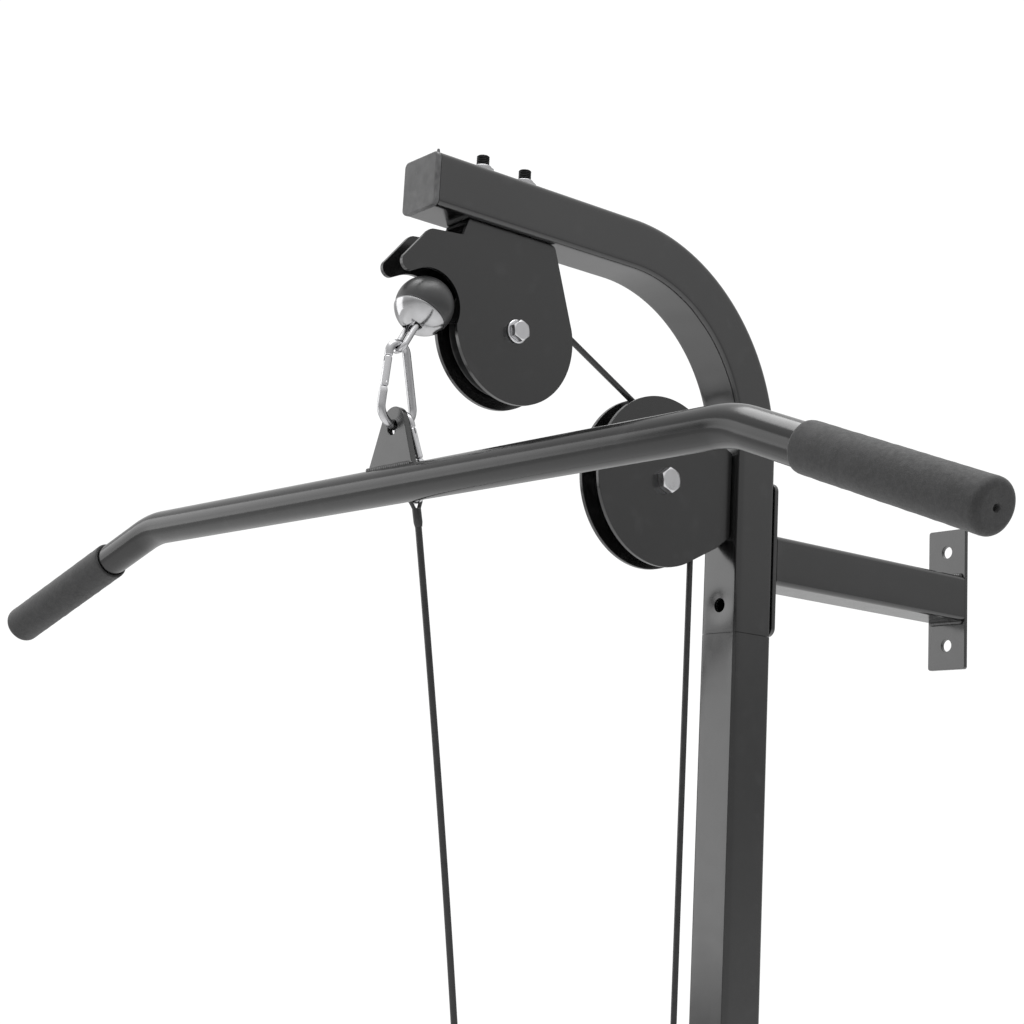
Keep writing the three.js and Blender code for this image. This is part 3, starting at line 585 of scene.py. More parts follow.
def zinc(name, level, rough, grain=(1, 1, 1)):
    """Zinc plate: softly cloudy, with faint scratches and brighter edges."""
    look = Look(name, "zinc_steel")
    tint = grey(level)
    dark = tuple(c * 0.72 for c in tint)
    bright = tuple(min(c * 1.3, 0.9) for c in tint)
    colour = look.mix(look.cloud(85, 4, stretch=grain), dark, tint)
    colour = look.mix(look.worn_edges(), colour, bright)
    roughness = look.cloud(120, 4, rough - 0.05, rough + 0.07, grain)
    look.bumps((look.noise(420, 2, grain), 0.012, 0.25), (look.noise(60, 2), 0.06, 0.08))
    return look.finish(colour, roughness, Metallic=1.0)


def chrome():
    """Satin chrome on a pressed cup: soft smears and a faint ripple."""
    look = Look("chrome_plate", "chrome_steel")
    colour = look.mix(look.cloud(45, 4), (0.36, 0.36, 0.365), (0.52, 0.52, 0.53))
    look.bumps((look.noise(55, 2), 0.3, 0.1))
    return look.finish(colour, look.cloud(90, 4, 0.13, 0.22), Metallic=1.0)


def soft_black(name, slot, dark, light, rough, grain_scale, grain_depth):
    """Moulded rubber or plastic: fine grain, and dust on the high places."""
    look = Look(name, slot)
    light = grey(light)
    colour = look.mix(look.cloud(28, 5), grey(dark), light)
    dust = look.both(look.worn_edges(0.51, 0.55), look.cloud(130, 4, 0, 0.5))
    colour = look.mix(dust, colour, tuple(min(c * 3.2, 1) for c in light))
    roughness = look.cloud(110, 5, rough - 0.06, rough + 0.08)
    look.bumps((look.noise(grain_scale, 3), grain_depth, 0.4))
    return look.finish(colour, roughness)


def foam():
    """Closed-cell foam: fine open pores in a dull skin."""
    look = Look("foam", "foam_grip")
    cells = look.node("ShaderNodeTexVoronoi", Scale=1500)
    look.link(look.place, cells.inputs["Vector"])
    pores = cells.outputs["Distance"]
    tone = look.mix(look.cloud(40, 5), (0.016, 0.016, 0.016), (0.024, 0.024, 0.0245))
    colour = look.mix(look.spread(pores, 0, 0.22, 0.35, 0.8), tone, (0.07, 0.07, 0.072))
    roughness = look.cloud(300, 3, 0.74, 0.9)
    look.bumps((pores, 0.22, 0.45), (look.noise(320, 3), 0.3, 0.25))
    return look.finish(colour, roughness, Sheen_Weight=0.15, Sheen_Roughness=0.5)


frame_look = paint("frame_coat", "frame_paint", 0.005, 0.008, 0.17, 0.02, 0.95)
bracket_look = paint("bracket_coat", "bracket_paint", 0.004, 0.006, 0.24, 0.02, 0.8)
bar_look = paint("bar_coat", "bar_paint", 0.004, 0.007, 0.16, 0.012, 0.5)
zinc_look = zinc("zinc_plate", 0.5, 0.3)
satin_look = zinc("satin_zinc", 0.52, 0.22, (1, 1, 0.4))
stud_look = zinc("oiled_steel", 0.05, 0.42)
nut_look = zinc("dull_zinc", 0.34, 0.36)
chrome_look = chrome()
rubber_look = soft_black("ball_rubber", "black_rubber", 0.026, 0.036, 0.36, 700, 0.03)
plastic_look = soft_black("moulded_nylon", "black_plastic", 0.010, 0.016, 0.38, 900, 0.02)
cap_look = soft_black("cap_plastic", "black_plastic", 0.045, 0.06, 0.42, 800, 0.04)
cable_look = soft_black("cable_coat", "coated_cable", 0.010, 0.016, 0.3, 500, 0.02)
foam_look = foam()


# ---- studio ----
FLOOR_RADIUS = 14000


def add_floor():
    look = Look("floor_paper")
    colour = look.mix(look.cloud(0.6, 4), (0.8, 0.8, 0.8), (0.84, 0.84, 0.84))
    look.bumps((look.noise(400, 2), 0.1, 0.1))
    look.finish(colour, look.cloud(30, 4, 0.55, 0.75))
    ring = [Vector((a, b, -0.3)) for a, b in circle(FLOOR_RADIUS, 96)]
    floor = add_object("floor", (ring, [tuple(range(96))]))
    floor.data.materials.append(look.material)


WHITE_LEVEL = 1.05
SKY_LEVELS = ((0.0, 0.9), (0.47, 0.6), (0.53, 0.42), (0.6, 0.6), (0.72, 0.85), (1.0, 1.15))


def add_world():
    """White seen directly. Reflections and fill come from a softer, graded sky."""
    world = bpy.data.worlds.new("studio")
    world.use_nodes = True
    bpy.context.scene.world = world
    world.node_tree.nodes.clear()
    node, link = world.node_tree.nodes.new, world.node_tree.links.new
    parts = node("ShaderNodeSeparateXYZ")
    link(node("ShaderNodeTexCoord").outputs["Generated"], parts.inputs["Vector"])
    height = node("ShaderNodeMapRange")
    height.inputs["From Min"].default_value = -1
    height.inputs["From Max"].default_value = 1
    link(parts.outputs["Z"], height.inputs["Value"])
    ramp = node("ShaderNodeValToRGB")
    ramp.color_ramp.interpolation = "EASE"
    link(height.outputs["Result"], ramp.inputs["Fac"])
    stops = ramp.color_ramp.elements
    while len(stops) < len(SKY_LEVELS):
        stops.new(0.5)
    for stop, (where, level) in zip(stops, SKY_LEVELS):
        stop.position = where
        stop.color = (level, level, level, 1)
    soft, white = node("ShaderNodeBackground"), node("ShaderNodeBackground")
    link(ramp.outputs["Color"], soft.inputs["Color"])
    white.inputs["Color"].default_value = (1, 1, 1, 1)
    white.inputs["Strength"].default_value = WHITE_LEVEL
    choose = node("ShaderNodeMixShader")
    link(node("ShaderNodeLightPath").outputs["Is Camera Ray"], choose.inputs["Fac"])
    link(soft.outputs["Background"], choose.inputs[1])
    link(white.outputs["Background"], choose.inputs[2])
    link(choose.outputs["Shader"], node("ShaderNodeOutputWorld").inputs["Surface"])


def add_softbox(name, at, aim, size, power):
    lamp = bpy.data.lights.new(name, "AREA")
    lamp.shape = "RECTANGLE"
    lamp.size, lamp.size_y = size
    lamp.energy = power
    obj = linked(name, lamp)
    facing = (Vector(aim) - Vector(at)).to_track_quat("-Z", "Y")
    obj.matrix_world = Matrix.Translation(at) @ facing.to_matrix().to_4x4()


add_floor()
add_world()
add_softbox("key", (-3.2, -2.6, 2.4), (0, -0.1, 1.75), (2.6, 2.6), 34)
add_softbox("overhead", (0, -0.4, 6), (0, -0.2, 1.0), (4, 4), 190)
bpy.context.scene.view_settings.view_transform = "Standard"


# ---- cables ----
CABLE_SECTION = circle(CABLE_R, 20)
WEIGHT_CABLE_Y = REAR_PULLEY.y + PITCH_R
TERMINAL_TOP = box_mm("cable_terminal")[1].z
ROW_Z = LOW_PULLEY.z - PITCH_R
ROW_BALL_Y = centre_mm("row_stop_ball").y
LOW_CABLE_Y = LOW_PULLEY.y + PITCH_R


def in_yz(points):
    return [Vector((0, y, z)) for y, z in points]


def straight(a, b, steps):
    a, b = Vector(a), Vector(b)
    return [a.lerp(b, i / steps) for i in range(steps + 1)]


def coated(name, shape, *nodes):
    obj = add_object(name, shape)
    smooth(obj, 60)
    dress(obj, cable_look)
    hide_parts(*nodes)
    return obj


def cable(name, path, *nodes):
    return coated(name, swept(CABLE_SECTION, path), *nodes)


def rope_fall():
    """Angle of the straight run between the two upper pulleys."""
    run = REAR_PULLEY - FRONT_PULLEY
    return degrees(atan2(run.z, run.y))


def add_upper_cable():
    off = 90 + rope_fall()
    front = arc((FRONT_PULLEY.y, FRONT_PULLEY.z), PITCH_R, 178, off, 40)
    rear = arc((REAR_PULLEY.y, REAR_PULLEY.z), PITCH_R, off, 0, 24)
    run = straight((0, *front[-1]), (0, *rear[0]), 6)
    path = in_yz(front[:-1]) + run + in_yz(rear[1:])
    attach(cable("cable_over_pulleys", path, "upper_cable"), "frame")


def add_lat_cable():
    """The run from the front pulley down to the ball. It is short at rest, inside the bracket, and
    its rings are level."""
    top = Vector((0, FRONT_PULLEY.y - PITCH_R, FRONT_PULLEY.z + 4))
    foot = Vector((0, BALL.y + 1, BALL.z - 20))
    rings = []
    steps = 24
    for i in range(steps + 1):
        t = i / steps
        ease = t * t * (3 - 2 * t)
        centre = Vector((0, top.y + (foot.y - top.y) * ease, top.z + (foot.z - top.z) * t))
        rings.append([centre + X * a + Y * b for a, b in CABLE_SECTION])
    obj = coated("cable_to_bar", loft(rings), "lat_cable_drop")
    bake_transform(obj)


def shorten(obj, body):
    """The cable rides on the body at its held end, with a mesh of its own."""
    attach(obj, body)
    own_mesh(obj)


def add_weight_cable():
    top = Vector((0, WEIGHT_CABLE_Y, REAR_PULLEY.z))
    foot = Vector((0, WEIGHT_CABLE_Y, TERMINAL_TOP - 6))
    obj = cable("cable_to_carriage", straight(top, foot, 80), "weight_cable_drop")
    shorten(obj, "carriage")


def link_foot():
    reach = HOOK_TOP_R + HOOK_SPAN + HOOK_LOW_R
    tilt = radians(LINK_TILT)
    return LINK_TOP + Vector((0, reach * sin(tilt), -reach * cos(tilt)))


FERRULE_TILT = 12.5
FERRULE_FROM = 7.5
FERRULE_TO = 24
EYE_ROPE_R = 1.8


def below_link(distance, across=0):
    """A point in the link's plane, measured from the middle of its lowest wire."""
    tilt = radians(FERRULE_TILT)
    down = Vector((0, sin(tilt), -cos(tilt)))
    sideways = Vector((0, cos(tilt), sin(tilt)))
    return link_foot() + down * distance + sideways * across


def add_low_cable():
    """From the link's eye down to the low pulley: a slight bow, and upright at the wheel."""
    top = below_link(FERRULE_TO - 6)
    foot = Vector((0, LOW_CABLE_Y, LOW_PULLEY.z))
    knee = Vector((0, LOW_CABLE_Y - 19, top.z + (foot.z - top.z) * 0.5))
    near = top + (knee - top) * (2 / 3)
    upright = Vector((0, foot.y, foot.z + (knee.z - foot.z) * (2 / 3)))
    steps = 110
    path = []
    for i in range(steps + 1):
        t = i / steps
        u = 1 - t
        path.append(top * u**3 + near * (3 * t * u * u) + upright * (3 * t * t * u) + foot * t**3)
    obj = cable("cable_to_low_pulley", path, "low_cable_rise")
    shorten(obj, "lat_trolley")
    wrap = arc((LOW_PULLEY.y, LOW_PULLEY.z), PITCH_R, 0, -90, 24)
    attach(cable("cable_round_low_pulley", in_yz(wrap), "low_cable_wrap"), "frame")


def add_row_cable():
    start = Vector((0, LOW_PULLEY.y, ROW_Z))
    stop = Vector((0, ROW_BALL_Y + ROW_BALL_R - 4, ROW_Z))
    obj = cable("cable_to_row_handle", straight(start, stop, 30), "row_cable_end")
    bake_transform(obj)


def add_cable_eye():
    """The low cable's end: its rope turned back round the link, in a slim black sleeve."""
    loop_r = HOOK_WIRE_R + EYE_ROPE_R + 0.1
    crown = []
    for angle in range(200, -21, -10):
        t = radians(angle)
        crown.append(below_link(-loop_r * sin(t), loop_r * cos(t)))
    foot = FERRULE_FROM + 3
    path = [below_link(foot, -1.3)] + crown + [below_link(foot, 1.3)]
    piece("cable_eye", swept(circle(EYE_ROPE_R, 16), path), cable_look, "lat_trolley", angle=60)
    top, low = FERRULE_FROM, FERRULE_TO
    profile = [(0, top), (3.4, top), (4, top + 0.8), (4, low - 4), (3.3, low), (0, low)]
    down = below_link(1) - below_link(0)
    piece("cable_ferrule", turned(profile, 32, link_foot(), down), cable_look, "lat_trolley")


add_upper_cable()
add_lat_cable()
add_weight_cable()
add_low_cable()
add_row_cable()
add_cable_eye()


# ---- weld beads ----
BEAD_PITCH = 2.6
BEAD_STEP = 0.6


def bead(path, radius, across=X):
    """A hand-laid bead: overlapping scales along a path."""
    points = [Vector(p) for p in path]
    dense = []
    for a, b in zip(points, points[1:]):
        steps = max(1, round((b - a).length / BEAD_STEP))
        dense += [a.lerp(b, i / steps) for i in range(steps)]
    frames = stations(dense + points[-1:], across)
    rings = []
    for i, (p, u, v) in enumerate(frames):
        scale = abs(sin(pi * i * BEAD_STEP / BEAD_PITCH))
        wander = noise.noise(p * 0.11)
        size = radius * (0.84 + 0.16 * scale + 0.14 * wander)
        end = min(1, (i + 1) / 4, (len(frames) - i) / 4)
        rings.append([p + (u * a + v * b) * size * end for a, b in circle(1, 10)])
    return loft(rings)


def add_beads(name, look, body, *shapes):
    return piece(name, joined(*shapes), look, body, angle=60)


# ---- column and arm ----
def arch_path():
    top = ARM_TOP - HALF
    front = ARM_FRONT + CAP_FLANGE + GAP
    run = [(front + (-BEND_R - front) * i / 12, top) for i in range(12)]
    bend = arc((-BEND_R, top - BEND_R), BEND_R, 90, 0, 56)
    foot = JOINT_Z + GAP
    fall = top - BEND_R - foot
    post = [(0, top - BEND_R - fall * i / 70) for i in range(1, 71)]
    return in_yz(run + bend + post)


def dimple(obj, at, direction, radius, depth):
    """Draws the outer wall in round a bolted hole."""
    for vertex in obj.data.vertices:
        p = vertex.co / MM
        away = Vector((p.x - at.x, 0, p.z - at.z)).length
        if away < 3 * radius and abs(p.y - at.y) < WALL + 1.5:
            vertex.co += Vector(direction) * depth * MM * exp(-(away / radius) ** 2)


CREASE_FROM = 8
CREASE_TO = 82
CREASE_DEPTH = 0.28


def crease_inner_bend(obj):
    """Faint buckles that bending leaves on the inside of the curve."""
    centre = Vector((0, -BEND_R, ARM_TOP - HALF - BEND_R))
    inner = BEND_R - HALF
    span = radians(CREASE_TO - CREASE_FROM)
    for vertex in obj.data.vertices:
        p = vertex.co / MM
        out = Vector((0, p.y - centre.y, p.z - centre.z))
        angle = degrees(atan2(out.z, out.y))
        if CREASE_FROM < angle < CREASE_TO and out.length < inner + 2.5:
            swell = sin(radians(angle - CREASE_FROM) / span * pi)
            across = cos(p.x / HALF * pi / 2)
            t = radians(angle)
            buckle = sin(t * 19) + 0.6 * sin(t * 31 + 1)
            vertex.co += out.normalized() * CREASE_DEPTH * MM * buckle * swell * across


def add_upper_frame():
    obj = add_object("bent_arm", box_tube(arch_path(), 14))
    dimple(obj, Vector((0, -HALF, BOLT_LOW_Z)), Y, 11, 1.3)
    crease_inner_bend(obj)
    hole = rod(7.2, -HALF - 5, 0, 48, (0, 0, BOLT_LOW_Z), Y)
    studs = [rod(ARM_BOLT_R + GAP, -8, 8, 32, (0, y, ARM_TOP), Z) for y in ARM_BOLT_YS]
    cut(obj, hole, *studs)
    finish(obj, frame_look, "frame", "upper_frame", angle=40)


def add_lower_column():
    low, high = BASE_H + GAP, JOINT_Z - GAP
    between = [low + (high - low) * i / 40 for i in range(1, 40)]
    path = [Vector((0, 0, z)) for z in [low, low + 0.5, *between, high - 0.5, high]]
    piece("column_tube", box_tube(path, 6), frame_look, "frame", "lower_column", angle=40)


def add_end_cap():
    mid = ARM_TOP - HALF
    sections = [(0.0, 44.5, 3), (0.15, 47.6, 4), (0.7, 49.6, 5), (1.8, 50.6, 5.6),
                (4.1, 50.8, 5.8), (4.7, 50.4, 5.6), (5.0, 49.6, 5), (5.0, 43.4, 2.5),
                (26.0, 43.2, 2.5), (27.0, 42, 2)]
    cap = square_plug(sections, lambda depth, a, b: Vector((a, ARM_FRONT + depth, mid + b)))
    piece("end_cap", cap, cap_look, "frame", "arm_end_cap", angle=30)
    profile = [(0, -1), (1.5, -1), (1.3, 1.4), (0.8, 2.2), (0, 2.4)]
    nib = turned(profile, 16, (HALF - 3, ARM_FRONT + 3.2, ARM_TOP + 0.2), Z)
    piece("end_cap_gate_mark", nib, cap_look, "frame")


add_upper_frame()
add_lower_column()
add_end_cap()
refined("joint_spigot", frame_look, "frame", 0.4)


# ---- pulley brackets ----
BRACKET_TOP = JOINT_Z + 334.6
WEB_Y = (-374, -277)
FRONT_PLATE_R = 68
BALL_SEAT = (-410.6, JOINT_Z + 246.9)
BALL_SEAT_R = 32.1


def front_outline():
    y, z = FRONT_PULLEY.y, FRONT_PULLEY.z
    outline = [(WEB_Y[0], BRACKET_TOP), (WEB_Y[1], BRACKET_TOP)]
    outline += [(-274.2, BRACKET_TOP - 0.7), (-272.4, BRACKET_TOP - 2.2), (-271.6, BRACKET_TOP - 4)]
    seat_y, seat_z = BALL_SEAT
    apart = hypot(y - seat_y, z - seat_z)
    slope = atan2(z - seat_z, y - seat_y)
    reach = (BALL_SEAT_R ** 2 + apart ** 2 - FRONT_PLATE_R ** 2) / (2 * BALL_SEAT_R * apart)
    meet = slope - acos(reach)
    corner = (seat_y + BALL_SEAT_R * cos(meet), seat_z + BALL_SEAT_R * sin(meet))
    rim_end = degrees(atan2(corner[1] - z, corner[0] - y))
    outline += arc((y, z), FRONT_PLATE_R, 13, rim_end, 90)
    outline += arc(BALL_SEAT, BALL_SEAT_R, degrees(meet), 118, 40)[1:]
    outline += arc((-436.4, JOINT_Z + 279), 8, -68, -228, 22)
    outline += [(-419.5, JOINT_Z + 311.5), (-417, JOINT_Z + 313.6), (-414, JOINT_Z + 314.9)]
    outline += [(-410, JOINT_Z + 315.4), (-380, JOINT_Z + 318)]
    return outline


def add_bracket(name, outline, half_w, hollow, axle_r, pulley, folded, node):
    """A U-shaped plate bracket. folded picks the points on its bent edges."""
    obj = add_object(name, prism(outline, on_x, -half_w, half_w))
    inside = half_w - PLATE
    cut(obj, block((-inside, inside), *hollow))
    cut(obj, rod(axle_r + GAP, -30, 30, 32, on_axis(pulley), X))
    merge_flats(obj)
    round_edges(obj, 0.55, 3, 32, lambda a, b: folded(a) and folded(b), 3.2)
    finish(obj, bracket_look, "frame", node)


def add_front_bracket():
    def folded(p):
        return p.z > BRACKET_TOP - 0.5 and abs(p.x) > FRONT_HALF_W - 0.5

    hollow = (-500, -200), (1800, BRACKET_TOP - PLATE)
    add_bracket("front_pulley_bracket", front_outline(), FRONT_HALF_W, hollow,
                FRONT_AXLE_R, FRONT_PULLEY, folded, "front_bracket")


def rear_outline():
    back = -HALF - GAP
    low, high = JOINT_Z + 96, JOINT_Z + 179
    outline = [(back, low), (back, high)]
    outline += arc((-120, JOINT_Z + 136), 83.6, 46, 294, 96)
    outline += [(-45, JOINT_Z + 81)]
    return outline


def add_rear_bracket():
    back = -HALF - GAP

    def folded(p):
        return p.y > back - 0.5 and abs(p.x) > REAR_HALF_W - 0.5

    hollow = (-260, back - PLATE), (1700, 2000)
    add_bracket("rear_pulley_bracket", rear_outline(), REAR_HALF_W, hollow,
                REAR_AXLE_R, REAR_PULLEY, folded, "rear_bracket")


add_front_bracket()
add_rear_bracket()
refined("low_bracket", bracket_look, "frame", 0.55, 3)


# ---- pulleys, axles and frame bolts ----
def pulley_profile():
    half = 9
    groove = arc((0, PITCH_R + 0.6), 3.6, -180, 0, 14)
    rim = [(PULLEY_R, -half + 1.2), (PULLEY_R - 0.5, -half + 2), *[(r, h) for h, r in groove],
           (PULLEY_R - 0.5, half - 2), (PULLEY_R, half - 1.2)]
    left = [(16.3, -7), (22, -7), (24, -6.4), (29, -6.4), (31, -half + 0.3), (32, -half),
            (PULLEY_R - 1, -half), (PULLEY_R - 0.2, -half + 0.5)]
    return left + rim + [(r, -h) for r, h in reversed(left)]


def add_pulley(side, centre):
    wheel = turned(pulley_profile(), 120, centre, X, closed=True)
    node = side + "_pulley"
    piece(node + "_wheel", wheel, plastic_look, side + "_wheel", node, angle=30)


def add_bearing(side, centre, bore):
    profile = [(bore, -5.6), (bore + 0.4, -6), (bore + 2.2, -6), (bore + 2.6, -5.2),
               (13.2, -5.2), (13.6, -6), (15.6, -6), (16, -5.6)]
    profile += [(r, -h) for r, h in reversed(profile)]
    ring = turned(profile, 64, centre, X, closed=True)
    node = side + "_pulley_bearing"
    piece(node + "_rings", ring, zinc_look, side + "_wheel", node, angle=30)


def shank(radius, start, stop, at, along):
    step = 0.9 if stop > start else -0.9
    profile = [(0, start), (radius, start), (radius, stop - step), (radius - 0.9, stop), (0, stop)]
    return turned(profile, 40, at, along)


def threaded(radius, start, stop, at, along, pitch=1.75):
    """A stud's end with ridges at thread pitch."""
    turns = max(2, round(abs(stop - start) / pitch))
    step = (stop - start) / turns
    profile = [(0, start)]
    for i in range(turns):
        base = start + step * i
        profile += [(radius - 0.75, base), (radius, base + step * 0.4),
                    (radius, base + step * 0.55)]
    profile += [(radius - 0.9, stop), (0, stop)]
    return turned(profile, 36, at, along)


def add_axle(prefix, centre, radius, flats, head_t, grip, head_gap, turn):
    at = on_axis(centre)
    face = grip + head_gap
    rim = flats * 0.48
    head = hex_head(flats, face, face + head_t, at, X, turn)
    profile = [(0, face - 0.1), (rim, face - 0.1), (rim, face + 0.5), (0, face + 0.6)]
    flange = turned(profile, 64, at, X)
    tail = -grip - 1.4 * radius - 6
    body = shank(radius, face, -grip + 2, at, X)
    tip = threaded(radius, -grip + 2, tail, at, X, 1.5)
    bolt = joined(head, flange, body, tip)
    piece(prefix + "_bolt_finished", bolt, zinc_look, "frame", prefix + "_bolt", angle=28)
    near = -grip - GAP
    hexagon = hex_head(flats, near - 1.3 * radius, near, at, X, 10, chamfer_both=True)
    nut = add_object(prefix + "_nut_finished", hexagon)
    cut(nut, rod(radius + 0.2, -60, 0, 40, at, X))
    finish(nut, zinc_look, "frame", prefix + "_nut", angle=28)


def add_washer():
    start = FRONT_HALF_W + GAP
    profile = [(5.4, start), (5.4, start + 2), (10.5, start + 2), (11, start + 1.6),
               (11, start + 0.3), (10.7, start)]
    ring = turned(profile, 64, on_axis(FRONT_PULLEY), X, closed=True)
    piece("axle_washer", ring, zinc_look, "frame", "front_axle_washer", angle=30)


def add_arm_bolt(side, y, turn):
    at = Vector((0, y, 0))
    seat = BRACKET_TOP - PLATE - GAP
    stud = joined(shank(ARM_BOLT_R, seat - 1, ARM_TOP + 2, at, Z),
                  threaded(ARM_BOLT_R, ARM_TOP + 2, ARM_TOP + 20.5, at, Z))
    node = f"arm_bolt_{side}"
    piece(node + "_stud", stud, stud_look, "frame", node, angle=28)
    head = hex_head(19, seat - 7.5, seat, at, Z, 15, chamfer_both=True)
    piece(node + "_head", head, zinc_look, "frame", angle=28)
    low = ARM_TOP + GAP
    hexagon = hex_head(19, low, low + 8.2, at, Z, turn, chamfer_both=True)
    collar = [(6.4, low + 7), (8.4, low + 7), (8.4, low + 8.8)]
    for angle in range(15, 91, 15):
        t = radians(angle)
        collar.append((6.4 + 2 * cos(t), low + 8.8 + 1.8 * sin(t)))
    nut = joined(hexagon, turned(collar, 56, at, Z, closed=True))
    node = f"arm_nut_{side}"
    piece(node + "_lock_nut", nut, nut_look, "frame", node, angle=28)


def add_fasteners():
    add_axle("front_axle", FRONT_PULLEY, FRONT_AXLE_R, 17, 6.4, FRONT_HALF_W, 2.6, 23)
    add_axle("rear_axle", REAR_PULLEY, REAR_AXLE_R, 22, 8, REAR_HALF_W, GAP, 23)
    add_axle("low_axle", LOW_PULLEY, REAR_AXLE_R, 22, 8, REAR_HALF_W, GAP, 5)
    add_washer()
    add_arm_bolt("front", ARM_BOLT_YS[0], 20)
    add_arm_bolt("rear", ARM_BOLT_YS[1], 34)
    for node in ("rear_bracket_bolt", "rear_bracket_nut", "back_plate_bolt"):
        refined(node, zinc_look, "frame", 0.5)


add_pulley("front", FRONT_PULLEY)
add_pulley("rear", REAR_PULLEY)
add_pulley("low", LOW_PULLEY)
add_bearing("front", FRONT_PULLEY, FRONT_AXLE_R + GAP)
add_bearing("rear", REAR_PULLEY, REAR_AXLE_R + GAP)
add_bearing("low", LOW_PULLEY, REAR_AXLE_R + GAP)
add_fasteners()


# ---- wall bracket ----
WALL_ARM_Z = JOINT_Z + 79
WALL_PLATE_T = 5
WALL_PLATE_H = 157


def wall_plate(name, start, hole_r, corner, node):
    low, high = box_mm(node)
    middle = (low.z + high.z) / 2
    outline = [(a, middle + b) for a, b in rounded_rect(TUBE, WALL_PLATE_H, corner, 10)]
    obj = add_object(name, prism(outline, on_y, start, start + WALL_PLATE_T))
    for z in (BOLT_LOW_Z, BOLT_HIGH_Z):
        cut(obj, rod(hole_r, -20, 20, 48, (0, start, z), Y))
    merge_flats(obj)
    round_edges(obj, 0.8, 3)
    finish(obj, frame_look, "frame", node)


def add_wall_bracket():
    back = HALF + GAP
    wall_plate("column_plate", back, 6.3, 9, "column_back_plate")
    wall_plate("wall_anchor_plate", WALL_FACE - WALL_PLATE_T, 6.75, 3, "wall_plate")
    start, stop = back + WALL_PLATE_T + GAP, WALL_FACE - WALL_PLATE_T - GAP
    path = [Vector((0, start + (stop - start) * i / 24, WALL_ARM_Z)) for i in range(25)]
    piece("wall_arm_tube", box_tube(path, 5), frame_look, "frame", "wall_arm", angle=40)
    beads = []
    reach = HALF - CORNER + 2
    for y in (start + 0.8, stop - 0.8):
        for z in (WALL_ARM_Z - HALF - 0.6, WALL_ARM_Z + HALF + 0.6):
            beads.append(bead(straight((-reach, y, z), (reach, y, z), 2), 3, across=Y))
    add_beads("wall_arm_welds", frame_look, "frame", *beads)


add_wall_bracket()


# ---- stop ball, eye and snap hooks ----
def tilted(at, angle):
    """Places a shape drawn upright at the origin, turned about X."""
    return Matrix.Translation(at) @ Matrix.Rotation(radians(angle), 4, "X")


BALL_PLACE = tilted(BALL, -BALL_TILT)
CUP_SEAT = CUP_R * 0.55


def add_ball():
    """A rubber ball held in a pressed cup, whose rolled edge stands just proud of it."""
    low = -degrees(asin(CUP_EDGE / BALL_R))
    crown = arc((0, 0), BALL_R, low, 78, 44)
    neck = [(5.4, 25.9), (5.0, 26.2), (3.4, 26.2), (3.2, 25.2), (0, 25.2)]
    rubber = moved(turned([(0, -CUP_EDGE)] + crown + neck, 96), BALL_PLACE)
    piece("ball_rubber", rubber, rubber_look, "lat_trolley", "stop_ball", angle=40)
    start = -degrees(asin((CUP_EDGE + 1.9) / CUP_R))
    outer = arc((0, 0), CUP_R, start, -89, 34)
    inside = arc((0, 0), CUP_R - 1.4, -88, start, 18)
    edge_r, edge_z = outer[0]
    lip = [(edge_r - 1.4, edge_z + 1.4), (edge_r - 0.9, edge_z + 1.75),
           (edge_r - 0.3, edge_z + 1.6), (edge_r + 0.15, edge_z + 0.9)]
    profile = lip + outer + [(0, -CUP_R), (0, 1.4 - CUP_R)] + inside
    cup = add_object("ball_cup_shell", turned(profile, 96))
    cut(cup, prism(rounded_rect(22, 9.2, 2.2, 4), on_z, -CUP_R - 5, -CUP_SEAT))
    round_edges(cup, 0.35, 2, 40)
    cup.data.transform(metres(BALL_PLACE))
    finish(cup, chrome_look, "lat_trolley", "ball_cup", angle=40)
    top = -CUP_EDGE - 0.5
    core = turned([(0, top), (21, top), (19, -14), (16, -CUP_SEAT), (0, -CUP_SEAT)], 48)
    piece("ball_core", moved(core, BALL_PLACE), rubber_look, "lat_trolley")


def eye_path(reach, top):
    legs = [(-EYE_HALF_W, top), (-EYE_HALF_W, (top - reach) / 2)]
    bend = arc((0, -reach + EYE_HALF_W), EYE_HALF_W, 180, 360, 28)
    flat = legs + bend + [(-a, b) for a, b in reversed(legs)]
    return [Vector((a, 0, b)) for a, b in flat]


def add_ball_eye():
    reach = hypot(HOOK_TOP.y - BALL.y, HOOK_TOP.z + 2.6 - BALL.z)
    loop = swept(circle(EYE_WIRE_R, 24), eye_path(reach, -CUP_SEAT - 1), Y)
    rounded = [(0, -9.5), (2.7, -9.5), (3, -9.2), (3, 9.2), (2.7, 9.5), (0, 9.5)]
    pin = turned(rounded, 24, (0, 0, -CUP_SEAT - 4), X)
    piece("ball_eye_loop", moved(joined(loop, pin), BALL_PLACE),
          satin_look, "lat_trolley", "ball_eye", angle=40)


def hook_lean():
    return asin((HOOK_LOW_R - HOOK_TOP_R) / HOOK_SPAN)


def hook_leg(distance):
    """A point on the gate side's straight leg, so far from its wide end."""
    lean = hook_lean()
    low = Vector((0, -HOOK_LOW_R * cos(lean), -HOOK_SPAN + HOOK_LOW_R * sin(lean)))
    high = Vector((0, -HOOK_TOP_R * cos(lean), HOOK_TOP_R * sin(lean)))
    return low.lerp(high, distance / (HOOK_SPAN * cos(lean)))


def hook_wire(path, taper):
    """The hook's wire, thinner at its two ends where the gate meets it."""
    rings = []
    frames = stations(path, X)
    for i, (p, u, v) in enumerate(frames):
        near = min((p - frames[0][0]).length, (p - frames[-1][0]).length)
        radius = HOOK_WIRE_R * (1 - taper * max(0, 1 - near / 1.2))
        rings.append([p + u * a + v * b for a, b in circle(radius, 28)])
    return loft(rings)


